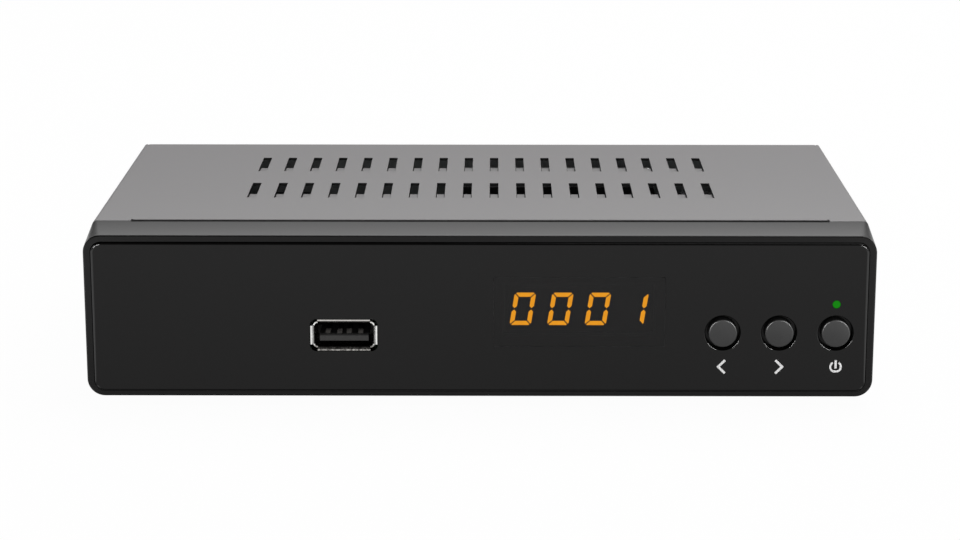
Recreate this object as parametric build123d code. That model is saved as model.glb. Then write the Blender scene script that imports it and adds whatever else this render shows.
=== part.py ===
from build123d import *
import math
import os

# Satellite television receiver, in millimetres.
# +X is to the right as seen from the front, the front faces -Y and +Z is up.
# The origin is under the middle of the whole object, on the surface it stands on.

# ------------------------------------------------------------------ case, driving dimensions
case_width = 168.0
case_height = 35.3              # underside of the bezel to the top of the cover
case_depth = 100.0              # rim of the bezel to the back of the cover
ground_gap = 2.4                # underside of the bezel above the table
chassis_lift = 0.4              # underside of the chassis above the underside of the bezel
sheet = 0.6                     # steel sheet of the cover and the chassis
bend_inside = 0.4               # inside radius of a folded edge
fold_relief = 0.4               # notch beside the end of a fold
fit_gap = 0.1                   # room between pieces that are put together once
seam_gap = 0.2                  # bezel to steel case
running_gap = 0.05              # radial room of a sliding or screwed fit
cut_margin = 1.0                # how far a cut runs past the faces that it opens
edge_reach = 0.01               # how near an edge must be to the place it is looked for at

# bezel and fascia
bezel_depth = 14.0
bezel_wall = 1.6
bezel_front_wall = 1.8
bezel_front_corner = 3.8
bezel_edge_round = 0.3
fascia_thickness = 2.2
fascia_stand_out = 0.6          # front of the fascia before the rim of the bezel
fascia_side_border = 1.6
fascia_top_border = 1.45
fascia_bottom_border = 1.2
fascia_corner = 2.2
fascia_edge_round = 0.6
hole_edge_round = 0.35
hook_places = (-62.0, -20.0, 20.0, 62.0)
hook_width = 8.0
hook_thickness = 1.5
hook_catch = 0.9
hook_catch_length = 2.4
hook_lead = 0.5                 # how much thinner the hook is at its tip
hook_root = 6.0                 # length of the hook that is joined to the bezel's floor

# buttons
control_row_height = 14.3       # buttons above the underside of the bezel
cap_radius = 3.05
cap_hole_radius = 3.7           # hole in the fascia round a cap
cap_stand_out = 0.6
cap_edge_round = 0.3
cap_crown = 0.15                # how far the middle of a cap stands before its edge
cap_flange_radius = 4.2
cap_flange_thickness = 1.0
cap_rest_gap = 0.3              # flange of a released cap behind the bezel's wall
cap_pitch = 12.0
first_cap_inset = 32.3          # first cap from the right side of the case
button_travel = 0.5
switch_free_height = 0.8        # plunger before its switch
switch_height = 3.5
switch_side = 6.0
switch_corner_cut = 0.6
plunger_radius = 1.7
plunger_inside = 1.6            # plunger within its switch

# display
display_inset = 62.8            # middle of the display from the right side of the case
display_link_gap = 1.25         # display's body above the pins of the link
display_width = 31.6
display_face_height = 10.4
display_gap = 0.4               # face of the display behind the fascia
digit_count = 4
digit_pitch = 8.0
digit_height = 7.15
digit_width = 4.55
segment_width = 0.93
segment_gap = 0.22              # between two segments, across their mitre
segment_corner_cut = 0.5        # cut off the outer corners of a digit
segment_depth = 0.5
digit_slant = 9.0               # degrees

# lamp and remote eye
lamp_height = 20.6
guide_radius = 0.85
guide_flange_radius = 1.6
guide_flange_thickness = 1.0
lamp_width = 3.0
lamp_body_height = 2.1
lamp_corner = 0.3
lamp_thickness = 1.2
eye_offset = 22.4               # remote eye from the middle of the display
eye_width = 5.6
eye_body_height = 7.0
eye_corner = 0.4
eye_thickness = 4.4
eye_dome_radius = 2.0
eye_dome_rise = 0.6             # middle of the dome above the middle of the body
eye_window = 6.4
eye_window_corner = 1.0

# circuit boards
board = 1.6
board_corner = 1.0
front_board_left = 24.0         # left edge of the front board from the middle of the display
front_board_side_gap = 3.2      # front board to the side of the bezel
front_board_top_gap = 4.4
front_board_bottom_gap = 4.8
post_radius = 2.4
post_inset = 3.6                # screw post from two edges of the front board
low_post_rise = 3.2
board_screw_radius = 1.5
board_screw_head = 2.8
board_screw_head_height = 1.9
post_screw_end_gap = 1.0        # tip of a front board screw before the bezel's wall
crown_share = 0.7               # flat top of a screw's head as a share of its radius
crown_slope_share = 0.5         # sloping part of a screw's head as a share of its height
main_board_side_gap = 5.0
main_board_front_gap = 1.9      # main board behind the front board
main_board_rear_gap = 0.6
standoff_top_radius = 3.4
standoff_foot_radius = 5.2
standoff_side_inset = 5.0       # from the edges of the main board
standoff_front_inset = 11.0
standoff_rear_inset = 9.0
standoff_tuner_gap = 4.2        # screw beside the tuner
board_screw_grip = 3.0          # shank below the main board

# front socket
usb_inset = 55.1                # middle of the socket from the left side of the case
usb_row_height = 13.7           # middle of the socket above the underside of the bezel
usb_width = 13.1
usb_height = 5.7
usb_length = 14.0
usb_sheet = 0.3
usb_flare = 0.55                # how far a flap of the mouth leans out, and its depth
usb_long_flap = 11.2
usb_short_flap = 4.1
usb_corner = 0.9
usb_hole_gap = 0.15
usb_tongue_width = 10.4
usb_tongue_thickness = 1.5
usb_tongue_length = 9.0
usb_tongue_floor_gap = 1.0
usb_tongue_recess = 1.3
usb_tongue_root = 1.0           # tongue within the block behind it
usb_contact_places = (-3.5, -1.0, 1.0, 3.5)     # from the middle of the socket
usb_contact_width = 1.0
usb_contact_height = 0.4        # crest of a contact above the tongue
usb_contact_sheet = 0.25
usb_contact_slope = 0.7         # from the tip of a contact to its crest
usb_contact_crest = 1.0
usb_contact_fall = 2.4          # from the crest back into the groove
usb_contact_groove = 0.3
usb_groove_start = 0.4          # groove behind the tip of the tongue
usb_tab_gap = 1.2               # tab of the main board behind the bezel's wall
usb_tab_margin = 5.0            # tab on each side of the socket

# link between the boards
link_count = 12
link_pitch = 2.0
link_pin = 0.64
link_strip = 2.5
link_strip_inset = 0.6          # strip behind the front edge of the main board
link_pin_front = 1.2            # pin before the front board
link_pin_turn = 4.5             # bend of the pins behind the front edge of the main board
link_pin_tail = 1.0
link_hole_radius = 0.48

# steel cover
vent_count = 18
vent_pitch = 6.08
vent_width = 2.0
vent_length = 15.7
vent_rows = (37.6, 66.7)        # front end of each row behind the rim
tongue_width = 1.7
tongue_root = 0.3               # tongue within the sheet in front of the slot
tongue_length = 6.5
tongue_ramp = 0.8               # tongue's slope down to its level part
tongue_drop = 0.65
lip_length = 4.0
lip_end_inset = 8.7             # plain end of the cover's front edge
lip_set_back = 1.2
lip_angle = 60.0                # degrees
rear_lip_height = 3.6
rear_ear_height = 9.0
rear_ear_width = 11.0
rear_ear_inset = 11.0
rear_ear_corner = 2.0
rear_screw_drop = 5.1           # rear screws below the top of the cover
cover_screw_radius = 1.45
cover_screw_head = 2.8
cover_screw_head_height = 1.3
cover_screw_length = 5.0
side_screw_height = 6.0
side_screw_from_rear = 22.0

# chassis
side_flange_height = 10.0
front_flange_height = 7.0
floor_vent_count = 12
floor_vent_pitch = 7.0
floor_vent_width = 2.4
floor_vent_length = 18.0
floor_vent_rows = (34.0, 60.0)  # front end of each row behind the rim

# feet
foot_side_inset = 24.0
foot_front_inset = 26.0
foot_rear_inset = 14.0
foot_radius = 6.5
foot_taper = 0.8
foot_stem_radius = 1.9
foot_head_radius = 2.8
foot_head_height = 1.6

# tuner and aerial socket
tuner_side_gap = 1.5
tuner_width = 28.0
tuner_length = 44.0
tuner_height = 13.0
tuner_corner = 0.5
tuner_lid_sheet = 0.4
tuner_lid_skirt = 3.0
tuner_lid_front_inset = 2.0
tuner_lid_rear_inset = 4.0
tuner_lid_slots = 5             # slots between the fingers of the skirt
tuner_lid_slot_width = 0.8
tuner_lid_slot_height = 2.2
tuner_ring_radius = 8.0         # stiffening ring pressed into the lid
tuner_ring_width = 1.2
tuner_ring_height = 0.35
aerial_height = 7.5             # middle of the socket above the main board
aerial_radius = 4.76
aerial_root_radius = 4.3        # root of the thread, under the nut and through the panel
aerial_nut_gap = 0.2            # full thread behind the nut
aerial_bore = 3.2
aerial_stand_out = 11.0         # end of the socket behind the cover
aerial_recess = 1.2
aerial_contact_radius = 0.9
aerial_contact_recess = 0.4     # contact before the face of its insulator
aerial_contact_bore = 0.5
aerial_contact_depth = 6.0
barrel_chamfer = 0.4            # mouth of the aerial and audio sockets
nut_across_flats = 11.1
nut_thickness = 2.2
nut_chamfer_angle = 30.0        # degrees

# rear sockets
socket_screw_gap = 0.8          # end sockets of the row beside the heads of the board screws
scart_width = 47.2
scart_height = 18.4
scart_corner = 1.0
scart_depth = 24.0
scart_stand_out = 1.5
scart_groove = 1.8
scart_groove_depth = 9.0
scart_border = 2.0
scart_slope = 3.2
scart_slot_count = 10
scart_slot_pitch = 3.81
scart_slot_width = 1.0
scart_slot_height = 3.2
scart_row_gap = 4.8
scart_blade_recess = 2.0
scart_blade_height = 2.2
scart_blade_thickness = 0.5
hdmi_width = 15.0
hdmi_height = 5.9
hdmi_depth = 11.5
hdmi_sheet = 0.35
hdmi_stand_out = 0.6
hdmi_slope = 1.7
hdmi_tongue_width = 11.0
hdmi_tongue_thickness = 1.2
hdmi_tongue_length = 8.0
hdmi_tongue_rise = 0.4          # tongue above the middle of the shell
hdmi_tongue_recess = 0.8
audio_width = 12.0
audio_block_height = 12.4
audio_block_depth = 13.0
audio_block_corner = 1.0
audio_height = 6.6
audio_collar_radius = 4.4
audio_collar_stand_out = 0.4    # collar behind the rear panel
audio_radius = 4.15
audio_bore = 3.2
audio_pin_bore = 1.6
audio_floor = 1.0
audio_insulator_recess = 0.8
audio_stand_out = 8.6
jack_width = 9.0
jack_block_height = 11.0
jack_corner = 0.8
jack_depth = 14.0
jack_height = 6.6
jack_bore = 3.1
jack_bore_depth = 9.5
jack_pin_radius = 1.0
jack_pin_tip = 0.5
jack_pin_tip_radius = 0.4
jack_pin_recess = 0.8
jack_stand_out = 0.4
cutout_gap = 0.3

# parts on the main board
processor_offset = 10.0         # right of the case's middle
processor_from_front = 50.0     # behind the rim
processor_side = 20.0
processor_corner_cut = 1.0
processor_height = 1.6
heatsink_side = 30.0
heatsink_base = 2.0
heatsink_height = 10.0
heatsink_fins = 8
heatsink_fin = 1.1
memory_width = 8.0
memory_length = 13.5
memory_height = 1.1
memory_offset = -32.0           # from the middle of the processor
memory_pitch = 16.0
capacitor_from_front = 70.0     # behind the rim
capacitor_insets = (13.0, 26.0, 37.0, 48.0)     # from the left edge of the main board
capacitor_radii = (5.0, 4.0, 4.0, 3.15)
capacitor_heights = (16.0, 12.0, 12.0, 11.0)
capacitor_groove = 0.35
capacitor_groove_height = 1.8
capacitor_groove_width = 0.8
capacitor_top_edge = 0.5
inductor_from_front = 52.0      # behind the rim
inductor_insets = (17.0, 29.0)  # from the left edge of the main board
inductor_side = 7.3
inductor_corner_cut = 1.6
inductor_height = 4.0
inductor_flange = 1.0
inductor_drum_radius = 2.8
crystal_offset = 24.0           # right of the middle of the processor
crystal_advance = 16.0          # in front of the middle of the processor
crystal_length = 11.0
crystal_width = 4.6
crystal_height = 3.5
crystal_brim = 0.4
crystal_brim_height = 0.5

# ------------------------------------------------------------------ places that follow from them
degree = math.pi / 180
overall_depth = fascia_stand_out + cap_stand_out + case_depth + aerial_stand_out
rim_y = -overall_depth / 2 + fascia_stand_out + cap_stand_out
case_rear_y = rim_y + case_depth
bezel_rear_y = rim_y + bezel_depth
half_width = case_width / 2
base_z = ground_gap
top_z = base_z + case_height
middle_z = base_z + case_height / 2
bend_outside = bend_inside + sheet

fascia_front_y = rim_y - fascia_stand_out
fascia_back_y = fascia_front_y + fascia_thickness
fascia_width = case_width - 2 * fascia_side_border
fascia_height = case_height - fascia_top_border - fascia_bottom_border
fascia_middle_z = base_z + fascia_bottom_border + fascia_height / 2
wall_back_y = fascia_back_y + bezel_front_wall

control_z = base_z + control_row_height
cap_x = [half_width - first_cap_inset + i * cap_pitch for i in range(3)]
flange_front_y = wall_back_y + cap_rest_gap
plunger_front_y = flange_front_y + cap_flange_thickness
switch_front_y = plunger_front_y + switch_free_height
front_board_y = switch_front_y + switch_height
front_board_back_y = front_board_y + board

usb_x = -half_width + usb_inset
usb_z = base_z + usb_row_height
main_board_z = usb_z - usb_height / 2           # top of the main board
main_board_under_z = main_board_z - board
main_board_y0 = front_board_back_y + main_board_front_gap
link_z = main_board_z + link_strip / 2

display_x = half_width - display_inset
display_z = link_z + link_pin / 2 + display_link_gap + display_face_height / 2
display_front_y = fascia_back_y + display_gap
lamp_z = base_z + lamp_height
eye_x = display_x + eye_offset

front_board_x0 = display_x - front_board_left
front_board_x1 = half_width - bezel_wall - front_board_side_gap
front_board_z0 = base_z + front_board_bottom_gap
front_board_z1 = top_z - front_board_top_gap
post_places = (
    (front_board_x0 + post_inset, front_board_z1 - post_inset),
    (front_board_x0 + post_inset, front_board_z0 + post_inset),
    (eye_x, front_board_z1 - post_inset),
    (front_board_x1 - post_inset, front_board_z1 - post_inset),
    ((cap_x[0] + cap_x[1]) / 2, front_board_z0 + low_post_rise),
)

chassis_z0 = base_z + chassis_lift
floor_z = chassis_z0 + sheet
chassis_half_width = half_width - sheet - fit_gap
chassis_front_y = bezel_rear_y + seam_gap
panel_back_y = case_rear_y - sheet - fit_gap    # outside of the rear panel
panel_front_y = panel_back_y - sheet
main_board_y1 = panel_front_y - main_board_rear_gap
main_board_half_width = half_width - main_board_side_gap

cover_front_y = bezel_rear_y + seam_gap
rear_ear_x = half_width - rear_ear_inset
rear_screw_z = top_z - rear_screw_drop
side_screw_z = chassis_z0 + side_screw_height
side_screw_y = case_rear_y - side_screw_from_rear

tuner_x = main_board_half_width - tuner_side_gap - tuner_width / 2
tuner_left = tuner_x - tuner_width / 2
tuner_rear_y = panel_front_y - fit_gap
tuner_front_y = tuner_rear_y - tuner_length
aerial_z = main_board_z + aerial_height
aerial_thread_y = panel_back_y + nut_thickness + aerial_nut_gap
aerial_end_y = case_rear_y + aerial_stand_out

screw_room = board_screw_head + socket_screw_gap
socket_row_left = -main_board_half_width + standoff_side_inset + screw_room
socket_row_right = tuner_left - standoff_tuner_gap - screw_room
socket_widths = jack_width + audio_width + hdmi_width + scart_width
socket_gap = (socket_row_right - socket_row_left - socket_widths) / 3
jack_x = socket_row_left + jack_width / 2
audio_x = jack_x + (jack_width + audio_width) / 2 + socket_gap
hdmi_x = audio_x + (audio_width + hdmi_width) / 2 + socket_gap
scart_x = hdmi_x + (hdmi_width + scart_width) / 2 + socket_gap
audio_z = main_board_z + audio_height
audio_start_y = panel_front_y - fit_gap
audio_collar_y = panel_back_y + audio_collar_stand_out
audio_end_y = case_rear_y + audio_stand_out
jack_z = main_board_z + jack_height
jack_end_y = panel_back_y + jack_stand_out
scart_end_y = panel_back_y + scart_stand_out
hdmi_end_y = panel_back_y + hdmi_stand_out
processor_y = rim_y + processor_from_front

standoff_places = (
    (-main_board_half_width + standoff_side_inset, main_board_y0 + standoff_front_inset),
    (main_board_half_width - standoff_side_inset, main_board_y0 + standoff_front_inset),
    (-main_board_half_width + standoff_side_inset, main_board_y1 - standoff_rear_inset),
    (tuner_left - standoff_tuner_gap, main_board_y1 - standoff_rear_inset),
)
foot_places = [
    (side * (half_width - foot_side_inset), y)
    for side in (-1, 1)
    for y in (rim_y + foot_front_inset, case_rear_y - foot_rear_inset)
]


# ------------------------------------------------------------------ ways of making a solid
def upright(y):
    """Sketch plane that faces the front: local x is +X and local y is +Z."""
    return Plane(origin=(0, y, 0), x_dir=(1, 0, 0), z_dir=(0, -1, 0))


def run_back(sketch, y, length):
    """Extrude a sketch drawn in X and Z from y towards the back."""
    return extrude(upright(y) * sketch, amount=-length)


def run_across(sketch, x, width):
    """Extrude a sketch drawn in Y and Z to both sides of x."""
    plane = Plane(origin=(x, 0, 0), x_dir=(0, 1, 0), z_dir=(1, 0, 0))
    return extrude(plane * sketch, amount=width / 2, both=True)


def run_up(sketch, z, height):
    """Extrude a sketch drawn in X and Y upwards from z."""
    return extrude(Plane.XY.offset(z) * sketch, amount=height)


def outline(corners):
    """Face with straight sides through the given corners."""
    return make_face(Polyline(*corners, close=True))


def turned(profile, origin, direction):
    """Revolve (radius, distance) corners about the line from origin along direction."""
    side = Vector(1, 0, 0) if abs(direction[2]) > 0.5 else Vector(0, 0, 1)
    plane = Plane(origin=origin, x_dir=side, z_dir=side.cross(Vector(*direction)))
    return revolve(plane * outline(profile), Axis(origin, direction))


def edge_along_x(body, y, z):
    """Straight edges of a body that run along X at y and z."""
    return body.edges().filter_by(Axis.X).filter_by(
        lambda edge: abs(edge.center().Y - y) < edge_reach and abs(edge.center().Z - z) < edge_reach
    )


def rings_at(body, y, radius):
    """Round edges of a body, of one radius, that lie at y and face the front or the back."""
    return body.edges().filter_by(GeomType.CIRCLE).filter_by(
        lambda edge: abs(edge.center().Y - y) < edge_reach and abs(edge.radius - radius) < edge_reach
    )


def front_rim(body, y):
    """Edges of a body that lie wholly at y."""
    return body.edges().filter_by_position(Axis.Y, y - edge_reach, y + edge_reach)


def through_panel(sketch):
    """Cut of one outline through the rear panel."""
    return run_back(sketch, panel_front_y - cut_margin, sheet + 2 * cut_margin)


def joined(pieces):
    """Fuse a list of overlapping solids into one."""
    return pieces[0] + pieces[1:]


# ------------------------------------------------------------------ front
def fascia_outline(grow):
    return Pos(0, fascia_middle_z) * RectangleRounded(
        fascia_width + 2 * grow, fascia_height + 2 * grow, fascia_corner + grow
    )


def usb_mouth(grow):
    """Outline round the flaps of the front socket."""
    width = usb_width + 2 * usb_flare + 2 * grow
    height = usb_height + 2 * usb_flare + 2 * grow
    return Pos(usb_x, usb_z) * RectangleRounded(width, height, usb_corner + usb_flare)


def bezel_hook(x):
    """Tongue on the bezel's floor that passes through the chassis and catches behind it."""
    root_z = base_z + bezel_wall
    top = root_z + hook_thickness
    catch_y = chassis_front_y + sheet + fit_gap
    end_y = catch_y + hook_catch_length
    profile = outline([
        (bezel_rear_y - hook_root, root_z - bezel_wall / 2),
        (bezel_rear_y - hook_root, top),
        (catch_y, top),
        (catch_y, top + hook_catch),
        (end_y, top - hook_lead),
        (end_y, root_z),
        (bezel_rear_y, root_z),
        (bezel_rear_y, root_z - bezel_wall / 2),
    ])
    return run_across(profile, x, hook_width)


def front_bezel():
    rim = Pos(0, middle_z) * RectangleRounded(case_width, case_height, bezel_front_corner)
    rear = Pos(0, middle_z) * RectangleRounded(case_width, case_height, bend_outside)
    body = loft([upright(rim_y) * rim, upright(bezel_rear_y) * rear], ruled=True)
    body = fillet(front_rim(body, rim_y), bezel_edge_round)
    inside = Pos(0, middle_z) * RectangleRounded(
        case_width - 2 * bezel_wall, case_height - 2 * bezel_wall, bezel_front_corner - bezel_wall
    )
    body -= run_back(inside, wall_back_y, bezel_depth)
    body -= run_back(fascia_outline(fit_gap), fascia_front_y, fascia_thickness)

    display_window = Rectangle(display_width + 2 * fit_gap, display_face_height + 2 * fit_gap)
    openings = [
        usb_mouth(usb_hole_gap),
        Pos(display_x, display_z) * display_window,
        Pos(cap_x[2], lamp_z) * Circle(guide_radius + fit_gap),
        Pos(eye_x, display_z) * RectangleRounded(eye_window, eye_window, eye_window_corner),
    ]
    openings += [Pos(x, control_z) * Circle(cap_radius + running_gap) for x in cap_x]
    through = bezel_front_wall + 2 * cut_margin
    body -= [run_back(opening, fascia_back_y - cut_margin, through) for opening in openings]

    post_length = front_board_y - wall_back_y
    post_root = bezel_front_wall / 2
    posts = [
        run_back(Pos(x, z) * Circle(post_radius), wall_back_y - post_root, post_length + post_root)
        for x, z in post_places
    ]
    body += posts + [bezel_hook(x) for x in hook_places]
    pilot = Circle(board_screw_radius + running_gap)
    return body - [
        run_back(Pos(x, z) * pilot, wall_back_y, post_length + cut_margin) for x, z in post_places
    ]


def fascia_panel():
    body = run_back(fascia_outline(0), fascia_front_y, fascia_thickness)
    body = fillet(front_rim(body, fascia_front_y), fascia_edge_round)
    through = fascia_thickness + 2 * cut_margin
    start = fascia_front_y - cut_margin
    body -= [run_back(Pos(x, control_z) * Circle(cap_hole_radius), start, through) for x in cap_x]
    body = fillet(rings_at(body, fascia_front_y, cap_hole_radius), hole_edge_round)
    lamp_hole = Pos(cap_x[2], lamp_z) * Circle(guide_radius + running_gap)
    return body - [run_back(usb_mouth(usb_hole_gap), start, through), run_back(lamp_hole, start, through)]


def button_cap(x):
    """Cap with a slightly domed face and a flange behind the bezel's wall."""
    front = fascia_front_y - cap_stand_out
    cap = turned(
        [(0, front), (cap_radius, front), (cap_radius, flange_front_y),
         (cap_flange_radius, flange_front_y), (cap_flange_radius, plunger_front_y), (0, plunger_front_y)],
        (x, 0, control_z), (0, 1, 0),
    )
    dome_radius = (cap_radius ** 2 + cap_crown ** 2) / (2 * cap_crown)
    cap &= Pos(x, front + dome_radius, control_z) * Sphere(dome_radius)
    return fillet(rings_at(cap, front + cap_crown, cap_radius), cap_edge_round)


def switch_plunger(x):
    return turned(
        [(0, plunger_front_y), (plunger_radius, plunger_front_y),
         (plunger_radius, switch_front_y + plunger_inside), (0, switch_front_y + plunger_inside)],
        (x, 0, control_z), (0, 1, 0),
    )


def switch_housing(x):
    """Square switch body with chamfered corners and the bore of its plunger."""
    square = Pos(x, control_z) * Rectangle(switch_side, switch_side)
    body = run_back(chamfer(square.vertices(), switch_corner_cut), switch_front_y, switch_height)
    bore = Pos(x, control_z) * Circle(plunger_radius + running_gap)
    return body - run_back(bore, switch_front_y, plunger_inside + button_travel + cap_rest_gap)


def front_board():
    width = front_board_x1 - front_board_x0
    height = front_board_z1 - front_board_z0
    middle = Pos((front_board_x0 + front_board_x1) / 2, (front_board_z0 + front_board_z1) / 2)
    body = run_back(middle * RectangleRounded(width, height, board_corner), front_board_y, board)
    holes = [
        run_back(Pos(x, z) * Circle(board_screw_radius + fit_gap), front_board_y, board)
        for x, z in post_places
    ]
    holes += [
        run_back(Pos(x, link_z) * Circle(link_hole_radius), front_board_y, board) for x in link_x()
    ]
    return body - holes


def pan_screw(origin, direction, length, radius, head_radius, head_height):
    """Pan-head screw: direction points from the head along the shank."""
    crown = head_radius * crown_share
    shoulder = head_height * (1 - crown_slope_share)
    return turned(
        [(0, -head_height), (crown, -head_height), (head_radius, -shoulder),
         (head_radius, 0), (radius, 0), (radius, length), (0, length)],
        origin, direction,
    )


def front_board_screws():
    length = board + front_board_y - wall_back_y - post_screw_end_gap
    return [
        pan_screw((x, front_board_back_y, z), (0, -1, 0), length,
                  board_screw_radius, board_screw_head, board_screw_head_height)
        for x, z in post_places
    ]


# ------------------------------------------------------------------ display
def digit_outlines():
    """Corners of the seven bars about the digit's middle, before it is slanted, from a to g."""
    right = digit_width / 2
    top = digit_height / 2
    inner = right - segment_width
    under = top - segment_width
    gap = segment_gap / math.sqrt(2)
    cut = segment_corner_cut
    half = segment_width / 2
    upper = [
        (cut - right, top), (right - cut, top), (right - (cut + gap) / 2, top - (cut - gap) / 2),
        (inner - gap, under), (gap - inner, under), ((cut + gap) / 2 - right, top - (cut - gap) / 2),
    ]
    upper_right = [
        (right, top - cut), (right, half + gap), (right - half, gap), (inner, half + gap),
        (inner, under - gap), (right - (cut - gap) / 2, top - (cut + gap) / 2),
    ]
    middle = [
        (half + gap - right, 0), (gap - inner, half), (inner - gap, half),
        (right - half - gap, 0), (inner - gap, -half), (gap - inner, -half),
    ]
    return [
        upper,
        upper_right,
        [(u, -v) for u, v in upper_right],
        [(u, -v) for u, v in upper],
        [(-u, -v) for u, v in upper_right],
        [(-u, v) for u, v in upper_right],
        middle,
    ]


def digit_segments(x):
    """Seven bars of one digit that stands at x."""
    lean = math.tan(digit_slant * degree)
    return [
        run_back(outline([(x + u + v * lean, display_z + v) for u, v in corners]),
                 display_front_y, segment_depth)
        for corners in digit_outlines()
    ]


def display_digits():
    """Bars of every digit, from left to right."""
    first = display_x - digit_pitch * (digit_count - 1) / 2
    return [digit_segments(first + i * digit_pitch) for i in range(digit_count)]


zero_bars = (0, 1, 2, 3, 4, 5)
one_bars = (1, 2)


def sort_segments(wanted):
    """Bars that are lit, or those that are dark, with the display showing 0001."""
    shown = [zero_bars] * (digit_count - 1) + [one_bars]
    return [
        bar
        for digit, bars in zip(display_digits(), shown)
        for index, bar in enumerate(digit)
        if (index in bars) == wanted
    ]


def display_housing():
    face = Pos(display_x, display_z) * Rectangle(display_width, display_face_height)
    body = run_back(face, display_front_y, front_board_y - display_front_y)
    return body - [bar for digit in display_digits() for bar in digit]


def status_led():
    body = Pos(cap_x[2], lamp_z) * RectangleRounded(lamp_width, lamp_body_height, lamp_corner)
    return run_back(body, front_board_y - lamp_thickness, lamp_thickness)


def light_guide():
    """Clear rod from the lamp to the face of the fascia, held by a flange behind the wall."""
    flange_end = wall_back_y + guide_flange_thickness
    rear = front_board_y - lamp_thickness - fit_gap
    return turned(
        [(0, fascia_front_y), (guide_radius, fascia_front_y), (guide_radius, wall_back_y),
         (guide_flange_radius, wall_back_y), (guide_flange_radius, flange_end),
         (guide_radius, flange_end), (guide_radius, rear), (0, rear)],
        (cap_x[2], 0, lamp_z), (0, 1, 0),
    )


def infrared_receiver():
    """Remote eye: a moulded block with a domed lens towards the fascia."""
    block = Pos(eye_x, display_z) * RectangleRounded(eye_width, eye_body_height, eye_corner)
    block_front = front_board_y - eye_thickness
    dome = Pos(eye_x, block_front, display_z + eye_dome_rise) * Sphere(eye_dome_radius)
    return run_back(block, block_front, eye_thickness) + dome


# ------------------------------------------------------------------ link between the boards
def link_x():
    return [display_x + (i - (link_count - 1) / 2) * link_pitch for i in range(link_count)]


def link_header():
    strip = Pos(display_x, link_z) * Rectangle(link_count * link_pitch, link_strip)
    start = main_board_y0 + link_strip_inset
    body = run_back(strip, start, link_strip)
    return body - [
        run_back(Pos(x, link_z) * Rectangle(link_pin, link_pin), start, link_strip) for x in link_x()
    ]


def link_pins():
    """Right-angled pins: through the front board, the strip and down through the main board."""
    start = front_board_y - link_pin_front
    turn = main_board_y0 + link_pin_turn
    low = main_board_under_z - link_pin_tail
    half = link_pin / 2
    profile = outline([
        (start, link_z - half), (start, link_z + half), (turn + half, link_z + half),
        (turn + half, low), (turn - half, low), (turn - half, link_z - half),
    ])
    return [run_across(profile, x, link_pin) for x in link_x()]


# ------------------------------------------------------------------ front socket
def flared_section(inside, front):
    """Section of one flap, as (distance from the socket's middle, y) corners."""
    back = front + usb_flare
    return [
        (inside, back + usb_sheet), (inside, back), (inside + usb_flare, front),
        (inside + usb_flare + usb_sheet, front), (inside + usb_sheet, back),
        (inside + usb_sheet, back + usb_sheet),
    ]


def usb_shell():
    """Folded steel shell with four flaps that lean out round its mouth."""
    front = fascia_front_y + usb_flare
    length = usb_length - usb_flare
    outer = Pos(usb_x, usb_z) * RectangleRounded(usb_width, usb_height, usb_corner)
    hollow = Pos(usb_x, usb_z) * RectangleRounded(
        usb_width - 2 * usb_sheet, usb_height - 2 * usb_sheet, usb_corner - usb_sheet
    )
    body = run_back(outer, front, length) - run_back(hollow, front, length - usb_sheet)
    side_section = flared_section(usb_width / 2 - usb_sheet, fascia_front_y)
    long_section = flared_section(usb_height / 2 - usb_sheet, fascia_front_y)
    for side in (-1, 1):
        side_flap = outline([(side * u, y) for u, y in side_section])
        long_flap = outline([(y, usb_z + side * u) for u, y in long_section])
        short = extrude(side_flap, amount=usb_short_flap / 2, both=True)
        body += [Pos(usb_x, 0, usb_z) * short, run_across(long_flap, usb_x, usb_long_flap)]
    return body


def usb_tongue_z():
    """Upper face of the socket's tongue."""
    return usb_z - usb_height / 2 + usb_sheet + usb_tongue_floor_gap + usb_tongue_thickness


def usb_tongue():
    """Moulded insert: a block at the back of the shell and the tongue that carries the contacts."""
    tongue_front = fascia_front_y + usb_tongue_recess
    block_front = tongue_front + usb_tongue_length
    block_end = fascia_front_y + usb_length - usb_sheet
    block = Pos(usb_x, usb_z) * RectangleRounded(
        usb_width - 2 * usb_sheet - fit_gap, usb_height - 2 * usb_sheet - fit_gap, usb_corner - usb_sheet
    )
    tongue = Pos(usb_x, usb_tongue_z() - usb_tongue_thickness / 2) * Rectangle(
        usb_tongue_width, usb_tongue_thickness
    )
    body = run_back(block, block_front, block_end - block_front)
    body += run_back(tongue, tongue_front, usb_tongue_length + usb_tongue_root)
    groove = Rectangle(usb_contact_width + 2 * fit_gap, 2 * usb_contact_groove)
    groove_length = usb_tongue_length - usb_groove_start
    return body - [
        run_back(Pos(x, usb_tongue_z()) * groove, tongue_front + usb_groove_start, groove_length)
        for x in usb_contact_x()
    ]


def usb_contact_x():
    return [usb_x + place for place in usb_contact_places]


def usb_contacts():
    """Four sprung strips that lie in the grooves of the tongue."""
    tongue_front = fascia_front_y + usb_tongue_recess
    start = tongue_front + usb_groove_start + fit_gap
    end = tongue_front + usb_tongue_length
    low = usb_tongue_z() - usb_contact_groove
    crest = usb_tongue_z() + usb_contact_height
    crest_start = start + usb_contact_slope
    crest_end = crest_start + usb_contact_crest
    profile = outline([
        (start, low), (start, low + usb_contact_sheet), (crest_start, crest), (crest_end, crest),
        (crest_end + usb_contact_fall, low + usb_contact_sheet), (end, low + usb_contact_sheet), (end, low),
    ])
    return [run_across(profile, x, usb_contact_width) for x in usb_contact_x()]


# ------------------------------------------------------------------ steel cover
def vent_x():
    return [(i - (vent_count - 1) / 2) * vent_pitch for i in range(vent_count)]


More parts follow.
